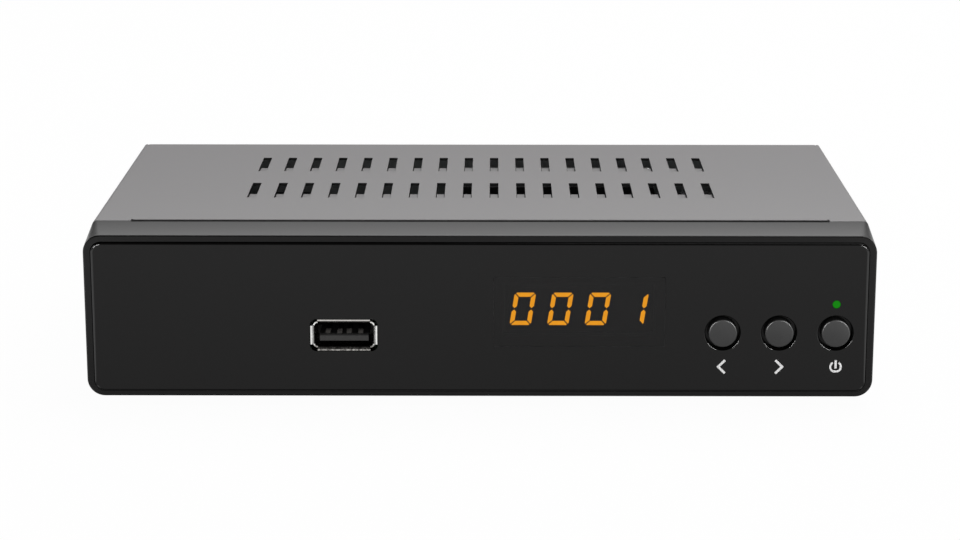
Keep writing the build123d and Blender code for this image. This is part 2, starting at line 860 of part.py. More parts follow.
def vent_tongue(x, y):
    """Strip left standing at the front end of a vent and pushed down into the case."""
    under_z = top_z - sheet
    step = outline([
        (y - tongue_root, top_z), (y, top_z), (y + tongue_ramp, top_z - tongue_drop),
        (y + tongue_length, top_z - tongue_drop), (y + tongue_length, under_z - tongue_drop),
        (y + tongue_ramp, under_z - tongue_drop), (y, under_z), (y - tongue_root, under_z),
    ])
    return run_across(step, x, tongue_width)


def cover_lip():
    """Front edge of the cover, set down so that it slides under the top of the bezel."""
    lip_z = top_z - bezel_wall - fit_gap
    angle = lip_angle * degree
    lean = sheet * math.tan(angle / 2)
    crest_y = cover_front_y + lip_set_back
    foot_y = crest_y - (top_z - lip_z) / math.tan(angle)
    back_y = crest_y + 2 * bend_outside
    front_y = bezel_rear_y - lip_length
    profile = outline([
        (back_y, top_z), (crest_y, top_z), (foot_y, lip_z), (front_y, lip_z),
        (front_y, lip_z - sheet), (foot_y + lean, lip_z - sheet), (crest_y + lean, top_z - sheet),
        (back_y, top_z - sheet),
    ])
    return run_across(profile, 0, case_width - 2 * lip_end_inset)


def cover_rear_lip():
    """Rear edge of the cover, folded down over the rear panel, with an ear for each screw."""
    fold = outline([
        (case_rear_y - 2 * bend_outside, top_z), (case_rear_y, top_z),
        (case_rear_y, top_z - rear_lip_height), (case_rear_y - sheet, top_z - rear_lip_height),
        (case_rear_y - sheet, top_z - sheet), (case_rear_y - 2 * bend_outside, top_z - sheet),
    ])
    lip = run_across(fold, 0, case_width - 2 * (bend_outside + fold_relief))
    lip = fillet(edge_along_x(lip, case_rear_y, top_z), bend_outside)
    lip = fillet(edge_along_x(lip, case_rear_y - sheet, top_z - sheet), bend_inside)
    ear_top = top_z - 2 * bend_outside
    ear_height = rear_ear_height - 2 * bend_outside
    ears = []
    for side in (-1, 1):
        shape = Pos(side * rear_ear_x, ear_top - ear_height / 2) * Rectangle(rear_ear_width, ear_height)
        lower = shape.vertices().group_by(Axis.Y)[0]
        ears.append(run_back(fillet(lower, rear_ear_corner), case_rear_y - sheet, sheet))
    return lip + ears


def folded_channel(width, height, sketch_z, opens_down):
    """Section of a sheet folded into a channel, drawn in X and Z from its open edge."""
    outer = Rectangle(width, height, align=(Align.CENTER, Align.MIN))
    inner = Rectangle(width - 2 * sheet, height - sheet, align=(Align.CENTER, Align.MIN))
    outer = fillet(outer.vertices().group_by(Axis.Y)[-1], bend_outside)
    inner = fillet(inner.vertices().group_by(Axis.Y)[-1], bend_inside)
    section = outer - inner
    turn = Rot(0, 0, 0) if opens_down else Rot(0, 0, 180)
    return Pos(0, sketch_z) * turn * section


def top_cover():
    height = top_z - chassis_z0
    body = run_back(folded_channel(case_width, height, chassis_z0, True),
                    cover_front_y, case_rear_y - cover_front_y)
    notch_height = 2 * (sheet + bend_outside)
    front_notch = Rectangle(case_width - 2 * lip_end_inset + 2 * fold_relief, notch_height)
    body -= run_back(Pos(0, top_z) * front_notch, cover_front_y, lip_set_back + fold_relief)
    rear_notch = Rectangle(case_width - 2 * bend_outside, notch_height)
    rear_cut = bend_outside + fold_relief
    body -= run_back(Pos(0, top_z) * rear_notch, case_rear_y - rear_cut, rear_cut)
    rear_corner = Rectangle(2 * bend_outside, 2 * bend_outside) - Circle(bend_outside)
    rear_corner &= Rectangle(bend_outside, bend_outside, align=(Align.MIN, Align.MIN))
    rear_corner = Pos(case_rear_y - bend_outside, top_z - bend_outside) * rear_corner
    body -= run_across(rear_corner, 0, case_width + 2 * cut_margin)
    body += [cover_lip(), cover_rear_lip()]

    slot = Rectangle(vent_width, vent_length)
    slots = [
        run_up(Pos(x, rim_y + row + vent_length / 2) * slot, top_z - 2 * sheet, 3 * sheet)
        for row in vent_rows
        for x in vent_x()
    ]
    holes = [
        turned([(0, -sheet), (cover_screw_radius + fit_gap, -sheet),
                (cover_screw_radius + fit_gap, 2 * sheet), (0, 2 * sheet)],
               (side * half_width, side_screw_y, side_screw_z), (-side, 0, 0))
        for side in (-1, 1)
    ]
    holes += [
        run_back(Pos(side * rear_ear_x, rear_screw_z) * Circle(cover_screw_radius + fit_gap),
                 case_rear_y - 2 * sheet, 3 * sheet)
        for side in (-1, 1)
    ]
    body -= slots + holes
    return body + [vent_tongue(x, rim_y + row) for row in vent_rows for x in vent_x()]


def cover_screws():
    screws = [
        pan_screw((side * half_width, side_screw_y, side_screw_z), (-side, 0, 0), cover_screw_length,
                  cover_screw_radius, cover_screw_head, cover_screw_head_height)
        for side in (-1, 1)
    ]
    screws += [
        pan_screw((side * rear_ear_x, case_rear_y, rear_screw_z), (0, -1, 0), cover_screw_length,
                  cover_screw_radius, cover_screw_head, cover_screw_head_height)
        for side in (-1, 1)
    ]
    return screws


# ------------------------------------------------------------------ chassis
def scart_outline(grow):
    """Rounded block of the large rear socket."""
    block = RectangleRounded(scart_width + 2 * grow, scart_height + 2 * grow, scart_corner)
    return Pos(scart_x, main_board_z + scart_height / 2) * block


def hdmi_outline(grow):
    """Six-sided mouth with its two lower corners cut away."""
    half = hdmi_width / 2
    z0 = main_board_z
    z1 = main_board_z + hdmi_height
    shape = outline([
        (hdmi_x - half, z1), (hdmi_x - half, z0 + hdmi_slope), (hdmi_x - half + hdmi_slope, z0),
        (hdmi_x + half - hdmi_slope, z0), (hdmi_x + half, z0 + hdmi_slope), (hdmi_x + half, z1),
    ])
    return offset(shape, grow, kind=Kind.INTERSECTION) if grow else shape


def jack_outline(grow):
    block = RectangleRounded(jack_width + 2 * grow, jack_block_height + 2 * grow, jack_corner)
    return Pos(jack_x, main_board_z + jack_block_height / 2) * block


def standoff(x, y):
    """Hollow cone pressed up from the floor, with a flat top for the board."""
    rise = main_board_under_z - floor_z
    return turned(
        [(standoff_foot_radius, -sheet), (standoff_foot_radius, 0), (standoff_top_radius, rise),
         (board_screw_radius + running_gap, rise), (board_screw_radius + running_gap, rise - sheet),
         (standoff_top_radius - sheet, rise - sheet), (standoff_foot_radius - sheet, -sheet)],
        (x, y, floor_z), (0, 0, 1),
    )


def chassis_bend(y, outward):
    """Quarter of a folded edge between the floor and a wall that stands at y."""
    centre = Pos(y - outward * bend_outside, chassis_z0 + bend_outside)
    ring = centre * (Circle(bend_outside) - Circle(bend_inside))
    middle = Pos(y - outward * bend_outside / 2, chassis_z0 + bend_outside / 2)
    return ring & middle * Rectangle(bend_outside, bend_outside)


def base_chassis():
    width = 2 * chassis_half_width
    front = chassis_front_y
    rear = panel_back_y
    inset = bend_outside + fold_relief

    channel = folded_channel(width, side_flange_height, chassis_z0 + side_flange_height, False)
    body = run_back(channel, front + inset, rear - front - 2 * inset)

    bend_top = chassis_z0 + bend_outside
    panel_top = top_z - bend_outside - fit_gap
    floor = Rectangle(rear - front - 2 * bend_outside, sheet)
    front_wall = Rectangle(sheet, front_flange_height - bend_outside, align=(Align.MIN, Align.MIN))
    rear_wall = Rectangle(sheet, panel_top - bend_top, align=(Align.MAX, Align.MIN))
    section = (
        Pos((front + rear) / 2, chassis_z0 + sheet / 2) * floor
        + Pos(front, bend_top) * front_wall
        + Pos(rear, bend_top) * rear_wall
        + chassis_bend(front, -1)
        + chassis_bend(rear, 1)
    )
    body += run_across(section, 0, width - 2 * inset)

    ear_z = chassis_z0 + side_flange_height + fold_relief
    wide = Pos(0, (ear_z + panel_top) / 2) * Rectangle(width, panel_top - ear_z)
    upper = wide.vertices().group_by(Axis.Y)[-1]
    body += run_back(chamfer(upper, bend_outside), rear - sheet, sheet)

    screw_hole = Circle(cover_screw_radius + running_gap)
    panel_holes = [
        scart_outline(cutout_gap),
        hdmi_outline(cutout_gap),
        jack_outline(cutout_gap),
        Pos(tuner_x, aerial_z) * Circle(aerial_root_radius + cutout_gap),
        Pos(audio_x, audio_z) * Circle(audio_collar_radius + cutout_gap),
        Pos(-rear_ear_x, rear_screw_z) * screw_hole,
        Pos(rear_ear_x, rear_screw_z) * screw_hole,
    ]
    cuts = [through_panel(hole) for hole in panel_holes]
    cuts += [
        turned([(0, -sheet), (cover_screw_radius + running_gap, -sheet),
                (cover_screw_radius + running_gap, 2 * sheet), (0, 2 * sheet)],
               (side * chassis_half_width, side_screw_y, side_screw_z), (-side, 0, 0))
        for side in (-1, 1)
    ]
    window_low = floor_z + bend_inside
    window_high = base_z + bezel_wall + hook_thickness + fit_gap
    window = Rectangle(hook_width + 4 * fit_gap, window_high - window_low, align=(Align.CENTER, Align.MIN))
    cuts += [run_back(Pos(x, window_low) * window, front - sheet, 3 * sheet) for x in hook_places]
    slot = Rectangle(floor_vent_width, floor_vent_length)
    first_slot_x = -floor_vent_pitch * (floor_vent_count - 1) / 2
    cuts += [
        run_up(Pos(first_slot_x + i * floor_vent_pitch, rim_y + row + floor_vent_length / 2) * slot,
               chassis_z0 - sheet, 3 * sheet)
        for row in floor_vent_rows
        for i in range(floor_vent_count)
    ]
    cuts += [
        run_up(Pos(x, y) * Circle(foot_stem_radius + fit_gap), chassis_z0 - sheet, 3 * sheet)
        for x, y in foot_places
    ]
    cuts += [
        run_up(Pos(x, y) * Circle(standoff_foot_radius - sheet), chassis_z0 - sheet, 3 * sheet)
        for x, y in standoff_places
    ]
    body -= cuts
    return body + [standoff(x, y) for x, y in standoff_places]


def rubber_feet():
    """Tapered foot with a stem that is pulled through the floor and held by its head."""
    return [
        turned(
            [(0, 0), (foot_radius - foot_taper, 0), (foot_radius, chassis_z0),
             (foot_stem_radius, chassis_z0), (foot_stem_radius, floor_z),
             (foot_head_radius, floor_z), (foot_stem_radius, floor_z + foot_head_height),
             (0, floor_z + foot_head_height)],
            (x, y, 0), (0, 0, 1),
        )
        for x, y in foot_places
    ]


# ------------------------------------------------------------------ main board
def main_board():
    width = 2 * main_board_half_width
    depth = main_board_y1 - main_board_y0
    sheet_shape = Pos(0, main_board_y0 + depth / 2) * Rectangle(width, depth)
    tab_front = wall_back_y + usb_tab_gap
    tab = Pos(usb_x, tab_front) * Rectangle(
        usb_width + 2 * usb_tab_margin, depth / 2, align=(Align.CENTER, Align.MIN)
    )
    body = run_up(sheet_shape + tab, main_board_under_z, board)
    holes = [
        run_up(Pos(x, y) * Circle(board_screw_radius + fit_gap), main_board_under_z, board)
        for x, y in standoff_places
    ]
    turn = main_board_y0 + link_pin_turn
    pin_hole = Circle(link_hole_radius)
    holes += [run_up(Pos(x, turn) * pin_hole, main_board_under_z, board) for x in link_x()]
    return body - holes


def board_screws():
    return [
        pan_screw((x, y, main_board_z), (0, 0, -1), board + board_screw_grip,
                  board_screw_radius, board_screw_head, board_screw_head_height)
        for x, y in standoff_places
    ]


# ------------------------------------------------------------------ tuner and aerial socket
def tuner_can():
    middle = Pos(tuner_x, tuner_front_y + tuner_length / 2)
    shape = middle * RectangleRounded(tuner_width, tuner_length, tuner_corner)
    return run_up(shape, main_board_z, tuner_height)


def tuner_lid():
    """Press-on lid with a skirt of sprung fingers and a ring pressed into its top."""
    width = tuner_width + 2 * (running_gap + tuner_lid_sheet)
    length = tuner_length - tuner_lid_front_inset - tuner_lid_rear_inset
    front = tuner_front_y + tuner_lid_front_inset
    top = main_board_z + tuner_height + running_gap
    skirt_z = top - tuner_lid_skirt
    place = Pos(tuner_x, front + length / 2)
    outside = place * Rectangle(width, length)
    inside = place * Rectangle(width - 2 * tuner_lid_sheet, length + 2 * cut_margin)
    plate = run_up(outside, top, tuner_lid_sheet)
    skirt = run_up(outside - inside, skirt_z, tuner_lid_skirt)
    slot = Rectangle(tuner_lid_slot_width, tuner_lid_slot_height, align=(Align.CENTER, Align.MIN))
    slot_pitch = length / (tuner_lid_slots + 1)
    slots = [
        run_across(Pos(front + (i + 1) * slot_pitch, skirt_z) * slot, tuner_x, width + 2 * cut_margin)
        for i in range(tuner_lid_slots)
    ]
    ring = place * (Circle(tuner_ring_radius) - Circle(tuner_ring_radius - tuner_ring_width))
    raised = run_up(ring, top + tuner_lid_sheet / 2, tuner_lid_sheet / 2 + tuner_ring_height)
    return plate + skirt - slots + raised


def aerial_barrel():
    """Threaded socket: full thread behind the nut, its root under the nut and through the panel."""
    return turned(
        [(aerial_bore, tuner_rear_y), (aerial_root_radius, tuner_rear_y),
         (aerial_root_radius, aerial_thread_y), (aerial_radius, aerial_thread_y),
         (aerial_radius, aerial_end_y - barrel_chamfer),
         (aerial_radius - barrel_chamfer, aerial_end_y), (aerial_bore, aerial_end_y)],
        (tuner_x, 0, aerial_z), (0, 1, 0),
    )


def aerial_insulator():
    end = aerial_end_y - aerial_recess
    return turned(
        [(aerial_contact_radius, tuner_rear_y), (aerial_bore, tuner_rear_y), (aerial_bore, end),
         (aerial_contact_radius, end)],
        (tuner_x, 0, aerial_z), (0, 1, 0),
    )


def aerial_contact():
    """Sleeve that takes the wire of the aerial cable."""
    end = aerial_end_y - aerial_recess - aerial_contact_recess
    floor = end - aerial_contact_depth
    return turned(
        [(0, tuner_rear_y), (aerial_contact_radius, tuner_rear_y), (aerial_contact_radius, end),
         (aerial_contact_bore, end), (aerial_contact_bore, floor), (0, floor)],
        (tuner_x, 0, aerial_z), (0, 1, 0),
    )


def aerial_nut():
    """Hexagonal nut whose outer corners are turned away at an angle."""
    flat_radius = nut_across_flats / 2
    reach = flat_radius / math.cos(math.pi / 6) + cut_margin
    slope = (reach - flat_radius) * math.tan(nut_chamfer_angle * degree)
    hexagon = RegularPolygon(flat_radius, 6, major_radius=False)
    ring = Pos(tuner_x, aerial_z) * (hexagon - Circle(aerial_root_radius + running_gap))
    turning = turned(
        [(0, -cut_margin), (reach, -cut_margin), (reach, nut_thickness - slope),
         (flat_radius, nut_thickness), (0, nut_thickness)],
        (tuner_x, panel_back_y, aerial_z), (0, 1, 0),
    )
    return run_back(ring, panel_back_y, nut_thickness) & turning


# ------------------------------------------------------------------ rear sockets
def scart_plug_outline(shrink):
    """Socket island: a block whose right-hand end slopes, as seen from behind."""
    low = main_board_z + scart_border + shrink
    high = main_board_z + scart_height - scart_border - shrink
    left = scart_x - scart_width / 2 + scart_border + shrink
    right = scart_x + scart_width / 2 - scart_border - shrink
    return outline([
        (left, high), (left, low + scart_slope), (left + scart_slope, low),
        (right, low), (right, high),
    ])


def scart_slot_places():
    middle = main_board_z + scart_height / 2
    first = scart_x - scart_slot_pitch * (scart_slot_count - 1) / 2
    return [
        (first + i * scart_slot_pitch + row * scart_slot_pitch / 4, middle + row * scart_row_gap / 2)
        for row in (-1, 1)
        for i in range(scart_slot_count)
    ]


def scart_socket():
    body = run_back(scart_outline(0), scart_end_y - scart_depth, scart_depth)
    ring = scart_plug_outline(0) - scart_plug_outline(scart_groove)
    body -= run_back(ring, scart_end_y - scart_groove_depth, scart_groove_depth)
    slot = Rectangle(scart_slot_width, scart_slot_height)
    return body - [
        run_back(Pos(x, z) * slot, scart_end_y - scart_groove_depth, scart_groove_depth)
        for x, z in scart_slot_places()
    ]


def scart_contacts():
    """Sprung blades, each against the left wall of its slot."""
    start = scart_end_y - scart_groove_depth
    length = scart_groove_depth - scart_blade_recess
    left = -(scart_slot_width - scart_blade_thickness) / 2
    blade = Rectangle(scart_blade_thickness, scart_blade_height)
    return [run_back(Pos(x + left, z) * blade, start, length) for x, z in scart_slot_places()]


def hdmi_shell():
    back = hdmi_end_y - hdmi_depth
    body = run_back(hdmi_outline(0), back, hdmi_depth)
    return body - run_back(hdmi_outline(-hdmi_sheet), back + hdmi_sheet, hdmi_depth)


def hdmi_tongue():
    """Insert with a block at the back of the shell and a thin tongue."""
    back = hdmi_end_y - hdmi_depth + hdmi_sheet
    block_length = hdmi_depth - hdmi_sheet - hdmi_tongue_length - hdmi_tongue_recess
    z = main_board_z + hdmi_height / 2 + hdmi_tongue_rise
    block = run_back(hdmi_outline(-hdmi_sheet - running_gap), back, block_length)
    tongue = Pos(hdmi_x, z) * Rectangle(hdmi_tongue_width, hdmi_tongue_thickness)
    return block + run_back(tongue, back + block_length / 2, block_length / 2 + hdmi_tongue_length)


def audio_block():
    z = main_board_z + audio_block_height / 2
    shape = Pos(audio_x, z) * RectangleRounded(audio_width, audio_block_height, audio_block_corner)
    return run_back(shape, audio_start_y - audio_block_depth, audio_block_depth)


def audio_barrel():
    """Plain sleeve with a collar where it passes through the rear panel."""
    return turned(
        [(audio_bore, audio_start_y), (audio_collar_radius, audio_start_y),
         (audio_collar_radius, audio_collar_y), (audio_radius, audio_collar_y),
         (audio_radius, audio_end_y - barrel_chamfer),
         (audio_radius - barrel_chamfer, audio_end_y), (audio_bore, audio_end_y)],
        (audio_x, 0, audio_z), (0, 1, 0),
    )


def audio_insulator():
    """Coloured cup inside the sleeve, open at the back for the middle pin of the plug."""
    end = audio_end_y - audio_insulator_recess
    floor = audio_start_y + audio_floor
    return turned(
        [(0, audio_start_y), (audio_bore, audio_start_y), (audio_bore, end), (audio_pin_bore, end),
         (audio_pin_bore, floor), (0, floor)],
        (audio_x, 0, audio_z), (0, 1, 0),
    )


def power_jack():
    body = run_back(jack_outline(0), jack_end_y - jack_depth, jack_depth)
    bore = Pos(jack_x, jack_z) * Circle(jack_bore)
    return body - run_back(bore, jack_end_y - jack_bore_depth, jack_bore_depth)


def power_pin():
    length = jack_bore_depth - jack_pin_recess
    return turned(
        [(0, 0), (jack_pin_radius, 0), (jack_pin_radius, length - jack_pin_tip),
         (jack_pin_tip_radius, length), (0, length)],
        (jack_x, jack_end_y - jack_bore_depth, jack_z), (0, 1, 0),
    )


# ------------------------------------------------------------------ parts on the main board
def processor():
    shape = Pos(processor_offset, processor_y) * Rectangle(processor_side, processor_side)
    return run_up(chamfer(shape.vertices(), processor_corner_cut), main_board_z, processor_height)


def heatsink():
    """Extruded comb with its fins running from front to back."""
    low = main_board_z + processor_height
    gap = (heatsink_side - heatsink_fin) / (heatsink_fins - 1) - heatsink_fin
    left = processor_offset - heatsink_side / 2 + heatsink_fin
    section = Pos(processor_offset, low) * Rectangle(
        heatsink_side, heatsink_height, align=(Align.CENTER, Align.MIN)
    )
    channel = Rectangle(gap, heatsink_height, align=(Align.MIN, Align.MIN))
    for i in range(heatsink_fins - 1):
        section -= Pos(left + i * (gap + heatsink_fin), low + heatsink_base) * channel
    return run_back(section, processor_y - heatsink_side / 2, heatsink_side)


def memory_chips():
    x = processor_offset + memory_offset
    chip = Rectangle(memory_length, memory_width)
    return [
        run_up(Pos(x, processor_y + side * memory_pitch / 2) * chip, main_board_z, memory_height)
        for side in (-1, 1)
    ]


def electrolytic_capacitors():
    """Round cans with the rolled groove near the board."""
    half_groove = capacitor_groove_width / 2
    cans = []
    for inset, radius, height in zip(capacitor_insets, capacitor_radii, capacitor_heights):
        profile = [
            (0, 0), (radius, 0), (radius, capacitor_groove_height - half_groove),
            (radius - capacitor_groove, capacitor_groove_height),
            (radius, capacitor_groove_height + half_groove), (radius, height - capacitor_top_edge),
            (radius - capacitor_top_edge, height), (0, height),
        ]
        place = (inset - main_board_half_width, rim_y + capacitor_from_front, main_board_z)
        cans.append(turned(profile, place, (0, 0, 1)))
    return cans


def power_inductors():
    """Ferrite drum between two square flanges."""
    drums = []
    for inset in inductor_insets:
        place = Pos(inset - main_board_half_width, rim_y + inductor_from_front)
        square = place * Rectangle(inductor_side, inductor_side)
        flange = chamfer(square.vertices(), inductor_corner_cut)
        low = run_up(flange, main_board_z, inductor_flange)
        drum = run_up(place * Circle(inductor_drum_radius), main_board_z, inductor_height)
        high = run_up(flange, main_board_z + inductor_height - inductor_flange, inductor_flange)
        drums.append(joined([low, drum, high]))
    return drums


def clock_crystal():
    """Oval steel can with a welded brim."""
    place = Pos(processor_offset + crystal_offset, processor_y - crystal_advance)
    can = SlotOverall(crystal_length, crystal_width)
    brim = SlotOverall(crystal_length + 2 * crystal_brim, crystal_width + 2 * crystal_brim)
    return joined([
        run_up(place * can, main_board_z, crystal_height),
        run_up(place * brim, main_board_z, crystal_brim_height),
    ])


# ------------------------------------------------------------------ the parts
pieces = {
    "front_bezel": front_bezel(),
    "fascia_panel": fascia_panel(),
    "channel_down_button": button_cap(cap_x[0]),
    "channel_up_button": button_cap(cap_x[1]),
    "power_button": button_cap(cap_x[2]),
    "down_switch_plunger": switch_plunger(cap_x[0]),
    "up_switch_plunger": switch_plunger(cap_x[1]),
    "power_switch_plunger": switch_plunger(cap_x[2]),
    "switch_housings": [switch_housing(x) for x in cap_x],
    "front_board": front_board(),
    "front_board_screws": front_board_screws(),
    "display_housing": display_housing(),
    "lit_segments": sort_segments(True),
    "unlit_segments": sort_segments(False),
    "status_led": status_led(),
    "light_guide": light_guide(),
    "infrared_receiver": infrared_receiver(),
    "link_header": link_header(),
    "link_pins": link_pins(),
    "usb_shell": usb_shell(),
    "usb_tongue": usb_tongue(),
    "usb_contacts": usb_contacts(),
    "top_cover": top_cover(),
    "cover_screws": cover_screws(),
    "base_chassis": base_chassis(),
    "rubber_feet": rubber_feet(),
    "main_board": main_board(),
    "board_screws": board_screws(),
    "tuner_can": tuner_can(),
    "tuner_lid": tuner_lid(),
    "aerial_barrel": aerial_barrel(),
    "aerial_insulator": aerial_insulator(),
    "aerial_contact": aerial_contact(),
    "aerial_nut": aerial_nut(),
    "scart_socket": scart_socket(),
    "scart_contacts": scart_contacts(),
    "hdmi_shell": hdmi_shell(),
    "hdmi_tongue": hdmi_tongue(),
    "audio_block": audio_block(),
    "audio_barrel": audio_barrel(),
    "audio_insulator": audio_insulator(),
    "power_jack": power_jack(),
    "power_pin": power_pin(),
    "processor": processor(),
    "heatsink": heatsink(),
    "memory_chips": memory_chips(),
    "electrolytic_capacitors": electrolytic_capacitors(),
    "power_inductors": power_inductors(),
    "clock_crystal": clock_crystal(),
}

os.makedirs("parts", exist_ok=True)
for name, piece in pieces.items():
    solid = Compound(children=piece) if isinstance(piece, list) else piece
    export_step(solid, f"parts/{name}.step")
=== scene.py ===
import math

import bpy
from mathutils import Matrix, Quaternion, Vector


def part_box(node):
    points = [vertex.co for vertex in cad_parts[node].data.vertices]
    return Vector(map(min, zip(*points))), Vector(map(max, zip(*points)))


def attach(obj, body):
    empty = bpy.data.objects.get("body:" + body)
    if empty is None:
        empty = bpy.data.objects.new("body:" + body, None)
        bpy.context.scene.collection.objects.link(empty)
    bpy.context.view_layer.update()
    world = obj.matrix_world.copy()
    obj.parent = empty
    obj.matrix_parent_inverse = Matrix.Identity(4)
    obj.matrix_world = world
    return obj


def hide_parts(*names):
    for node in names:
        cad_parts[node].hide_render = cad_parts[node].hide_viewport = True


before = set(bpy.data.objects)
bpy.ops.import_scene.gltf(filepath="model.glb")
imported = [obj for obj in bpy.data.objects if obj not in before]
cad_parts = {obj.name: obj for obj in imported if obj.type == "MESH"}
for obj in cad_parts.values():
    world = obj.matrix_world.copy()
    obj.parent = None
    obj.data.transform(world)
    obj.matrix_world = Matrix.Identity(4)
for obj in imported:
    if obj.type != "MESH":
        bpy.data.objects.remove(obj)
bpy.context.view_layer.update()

# ------------------------------------------------------------------ the set
# The receiver stands on pale paper in a white studio with a dark ceiling. A wide soft lamp hangs over and
# behind it, a small one stands high at each end, and a faint one in the case stands for what the vents let
# in. Two strips draw glints on the polished pieces of the front alone.
MM = 0.001
eased = {"interpolation_type": "SMOOTHSTEP"}    # a range that starts and ends gently


def linear(hex_colour):
    """Linear colour, with an alpha of 1, from an sRGB hex value."""
    channels = [int(hex_colour[i:i + 2], 16) / 255 for i in (0, 2, 4)]
    return tuple(c / 12.92 if c <= 0.04045 else ((c + 0.055) / 1.055) ** 2.4 for c in channels) + (1.0,)


def add_node(tree, kind, settings=None, sockets=None):
    """One shader node. Settings are its options, and a socket takes a value, an output of another node, or
    another node for the first of its outputs."""
    made = tree.nodes.new("ShaderNode" + kind)
    for name, value in (settings or {}).items():
        setattr(made, name, value)
    for name, value in (sockets or {}).items():
        source = value.outputs[0] if isinstance(value, bpy.types.Node) else value
        if isinstance(source, bpy.types.NodeSocket):
            tree.links.new(source, made.inputs[name])
        else:
            made.inputs[name].default_value = source
    return made


def empty_tree(owner):
    """Node tree of a material or a world, cleared."""
    owner.use_nodes = True
    owner.node_tree.nodes.clear()
    return owner.node_tree


scene = bpy.context.scene
scene.view_settings.view_transform = "Standard"

studio = bpy.data.worlds.new("white studio with a dark ceiling")
scene.world = studio
tree = empty_tree(studio)
ray = add_node(tree, "LightPath").outputs
toward = add_node(tree, "TexCoord").outputs["Generated"]
direction = add_node(tree, "SeparateXYZ", {}, {0: toward}).outputs
room_light = add_node(tree, "MapRange", eased, {
    "Value": direction["Z"], "From Min": 0.3, "From Max": 0.52, "To Min": 1.0, "To Max": 0.1})
# Matt surfaces get a little more of it than polished ones mirror, as from walls wider than the view.
matt_share = add_node(tree, "MapRange", {}, {"Value": ray["Is Diffuse Ray"], "To Min": 1.0, "To Max": 1.3})
room_light = add_node(tree, "Math", {"operation": "MULTIPLY"}, {0: room_light, 1: matt_share})
# The back wall is a little brighter on the right.
sideways = add_node(tree, "MapRange", {}, {
    "Value": direction["X"], "From Min": -0.2, "From Max": 0.2, "To Min": 0.9, "To Max": 1.1})
room_light = add_node(tree, "Math", {"operation": "MULTIPLY"}, {0: room_light, 1: sideways})
# Gloss finds that wall ended by dark curtains on both sides.
from_middle = add_node(tree, "Math", {"operation": "ABSOLUTE"}, {0: direction["X"]})
curtains = add_node(tree, "MapRange", eased, {
    "Value": from_middle, "From Min": 0.17, "From Max": 0.32, "To Min": 1.0, "To Max": 0.35})
back_wall_start = 0.3
off_wall = add_node(tree, "Math", {"operation": "LESS_THAN"}, {0: direction["Y"], 1: back_wall_start})
uncurtained = add_node(tree, "Math", {"operation": "MAXIMUM"}, {0: ray["Is Diffuse Ray"], 1: off_wall})
curtains = add_node(tree, "Math", {"operation": "MAXIMUM"}, {0: curtains, 1: uncurtained})
room_light = add_node(tree, "Math", {"operation": "MULTIPLY"}, {0: room_light, 1: curtains})
# To the camera, and through clear pieces, the background is plain white.
looked_at = add_node(tree, "Math", {"operation": "MAXIMUM"}, {
    0: ray["Is Camera Ray"], 1: ray["Is Transmission Ray"]})
strength = add_node(tree, "Math", {"operation": "MAXIMUM"}, {0: looked_at, 1: room_light})
white_wall = add_node(tree, "Background", {}, {"Color": (1, 1, 1, 1), "Strength": strength})
add_node(tree, "OutputWorld", {}, {"Surface": white_wall})

bpy.ops.object.select_all(action="DESELECT")
bpy.ops.mesh.primitive_plane_add(size=8.0)
floor = bpy.context.object
floor.name = "studio_floor"
paper = bpy.data.materials.new("white background paper")
tree = empty_tree(paper)
ray = add_node(tree, "LightPath").outputs
spot = add_node(tree, "SeparateXYZ", {}, {0: add_node(tree, "TexCoord").outputs["Object"]}).outputs
aside = add_node(tree, "Math", {"operation": "ABSOLUTE"}, {0: spot["X"]})
# Seen in gloss, the paper carries painted shade: it is dimmer close before the case, as if the case shaded
# it, and darkest in a painted shadow line where the lip of the plate stands before the rim.
painted_shade_near_case = add_node(tree, "MapRange", {}, {
    "Value": spot["Y"], "From Min": -190 * MM, "From Max": -65 * MM, "To Min": 1.08, "To Max": 0.9})
lip_line_y = -57.7 * MM
behind_line = add_node(tree, "Math", {"operation": "SUBTRACT"}, {0: spot["Y"], 1: lip_line_y})
from_line = add_node(tree, "Math", {"operation": "ABSOLUTE"}, {0: behind_line})
lip_shadow = add_node(tree, "MapRange", eased, {
    "Value": from_line, "From Min": 2.0 * MM, "From Max": 3.6 * MM, "To Min": 0.15, "To Max": 1.0})
painted_shade_near_case = add_node(tree, "Math", {"operation": "MULTIPLY"}, {0: painted_shade_near_case, 1: lip_shadow})
# Painted light: in gloss it is brighter under the end lamps, past what the flat of the plate mirrors, which
# widens to the front.
widening = 0.149
past_flat = add_node(tree, "Math", {"operation": "MULTIPLY_ADD"}, {0: spot["Y"], 1: widening, 2: aside})
painted_light_at_ends = add_node(tree, "MapRange", eased, {
    "Value": past_flat, "From Min": 79 * MM, "From Max": 96 * MM, "To Min": 0.0, "To Max": 1.4})
before_case = add_node(tree, "MapRange", {}, {
    "Value": spot["Y"], "From Min": -55 * MM, "From Max": -35 * MM, "To Min": 1.0, "To Max": 0.0})
painted_light_at_ends = add_node(tree, "Math", {"operation": "MULTIPLY"}, {0: painted_light_at_ends, 1: before_case})
in_gloss = add_node(tree, "Math", {"operation": "ADD"}, {0: painted_shade_near_case, 1: painted_light_at_ends})
# Below each lower corner lies a painted bright spot, which draws a short highlight in the round of the
# plate.
corner_place = (85.8 * MM, -60.5 * MM, 0.0)
folded = add_node(tree, "CombineXYZ", {}, {0: aside, 1: spot["Y"]})
to_corner = add_node(tree, "VectorMath", {"operation": "DISTANCE"}, {0: folded, 1: corner_place})
painted_corner_spot = add_node(tree, "MapRange", eased, {
    "Value": to_corner.outputs["Value"], "From Min": 0.8 * MM, "From Max": 3.2 * MM,
    "To Min": 3.0, "To Max": 0.0})
in_gloss = add_node(tree, "Math", {"operation": "ADD"}, {0: in_gloss, 1: painted_corner_spot})
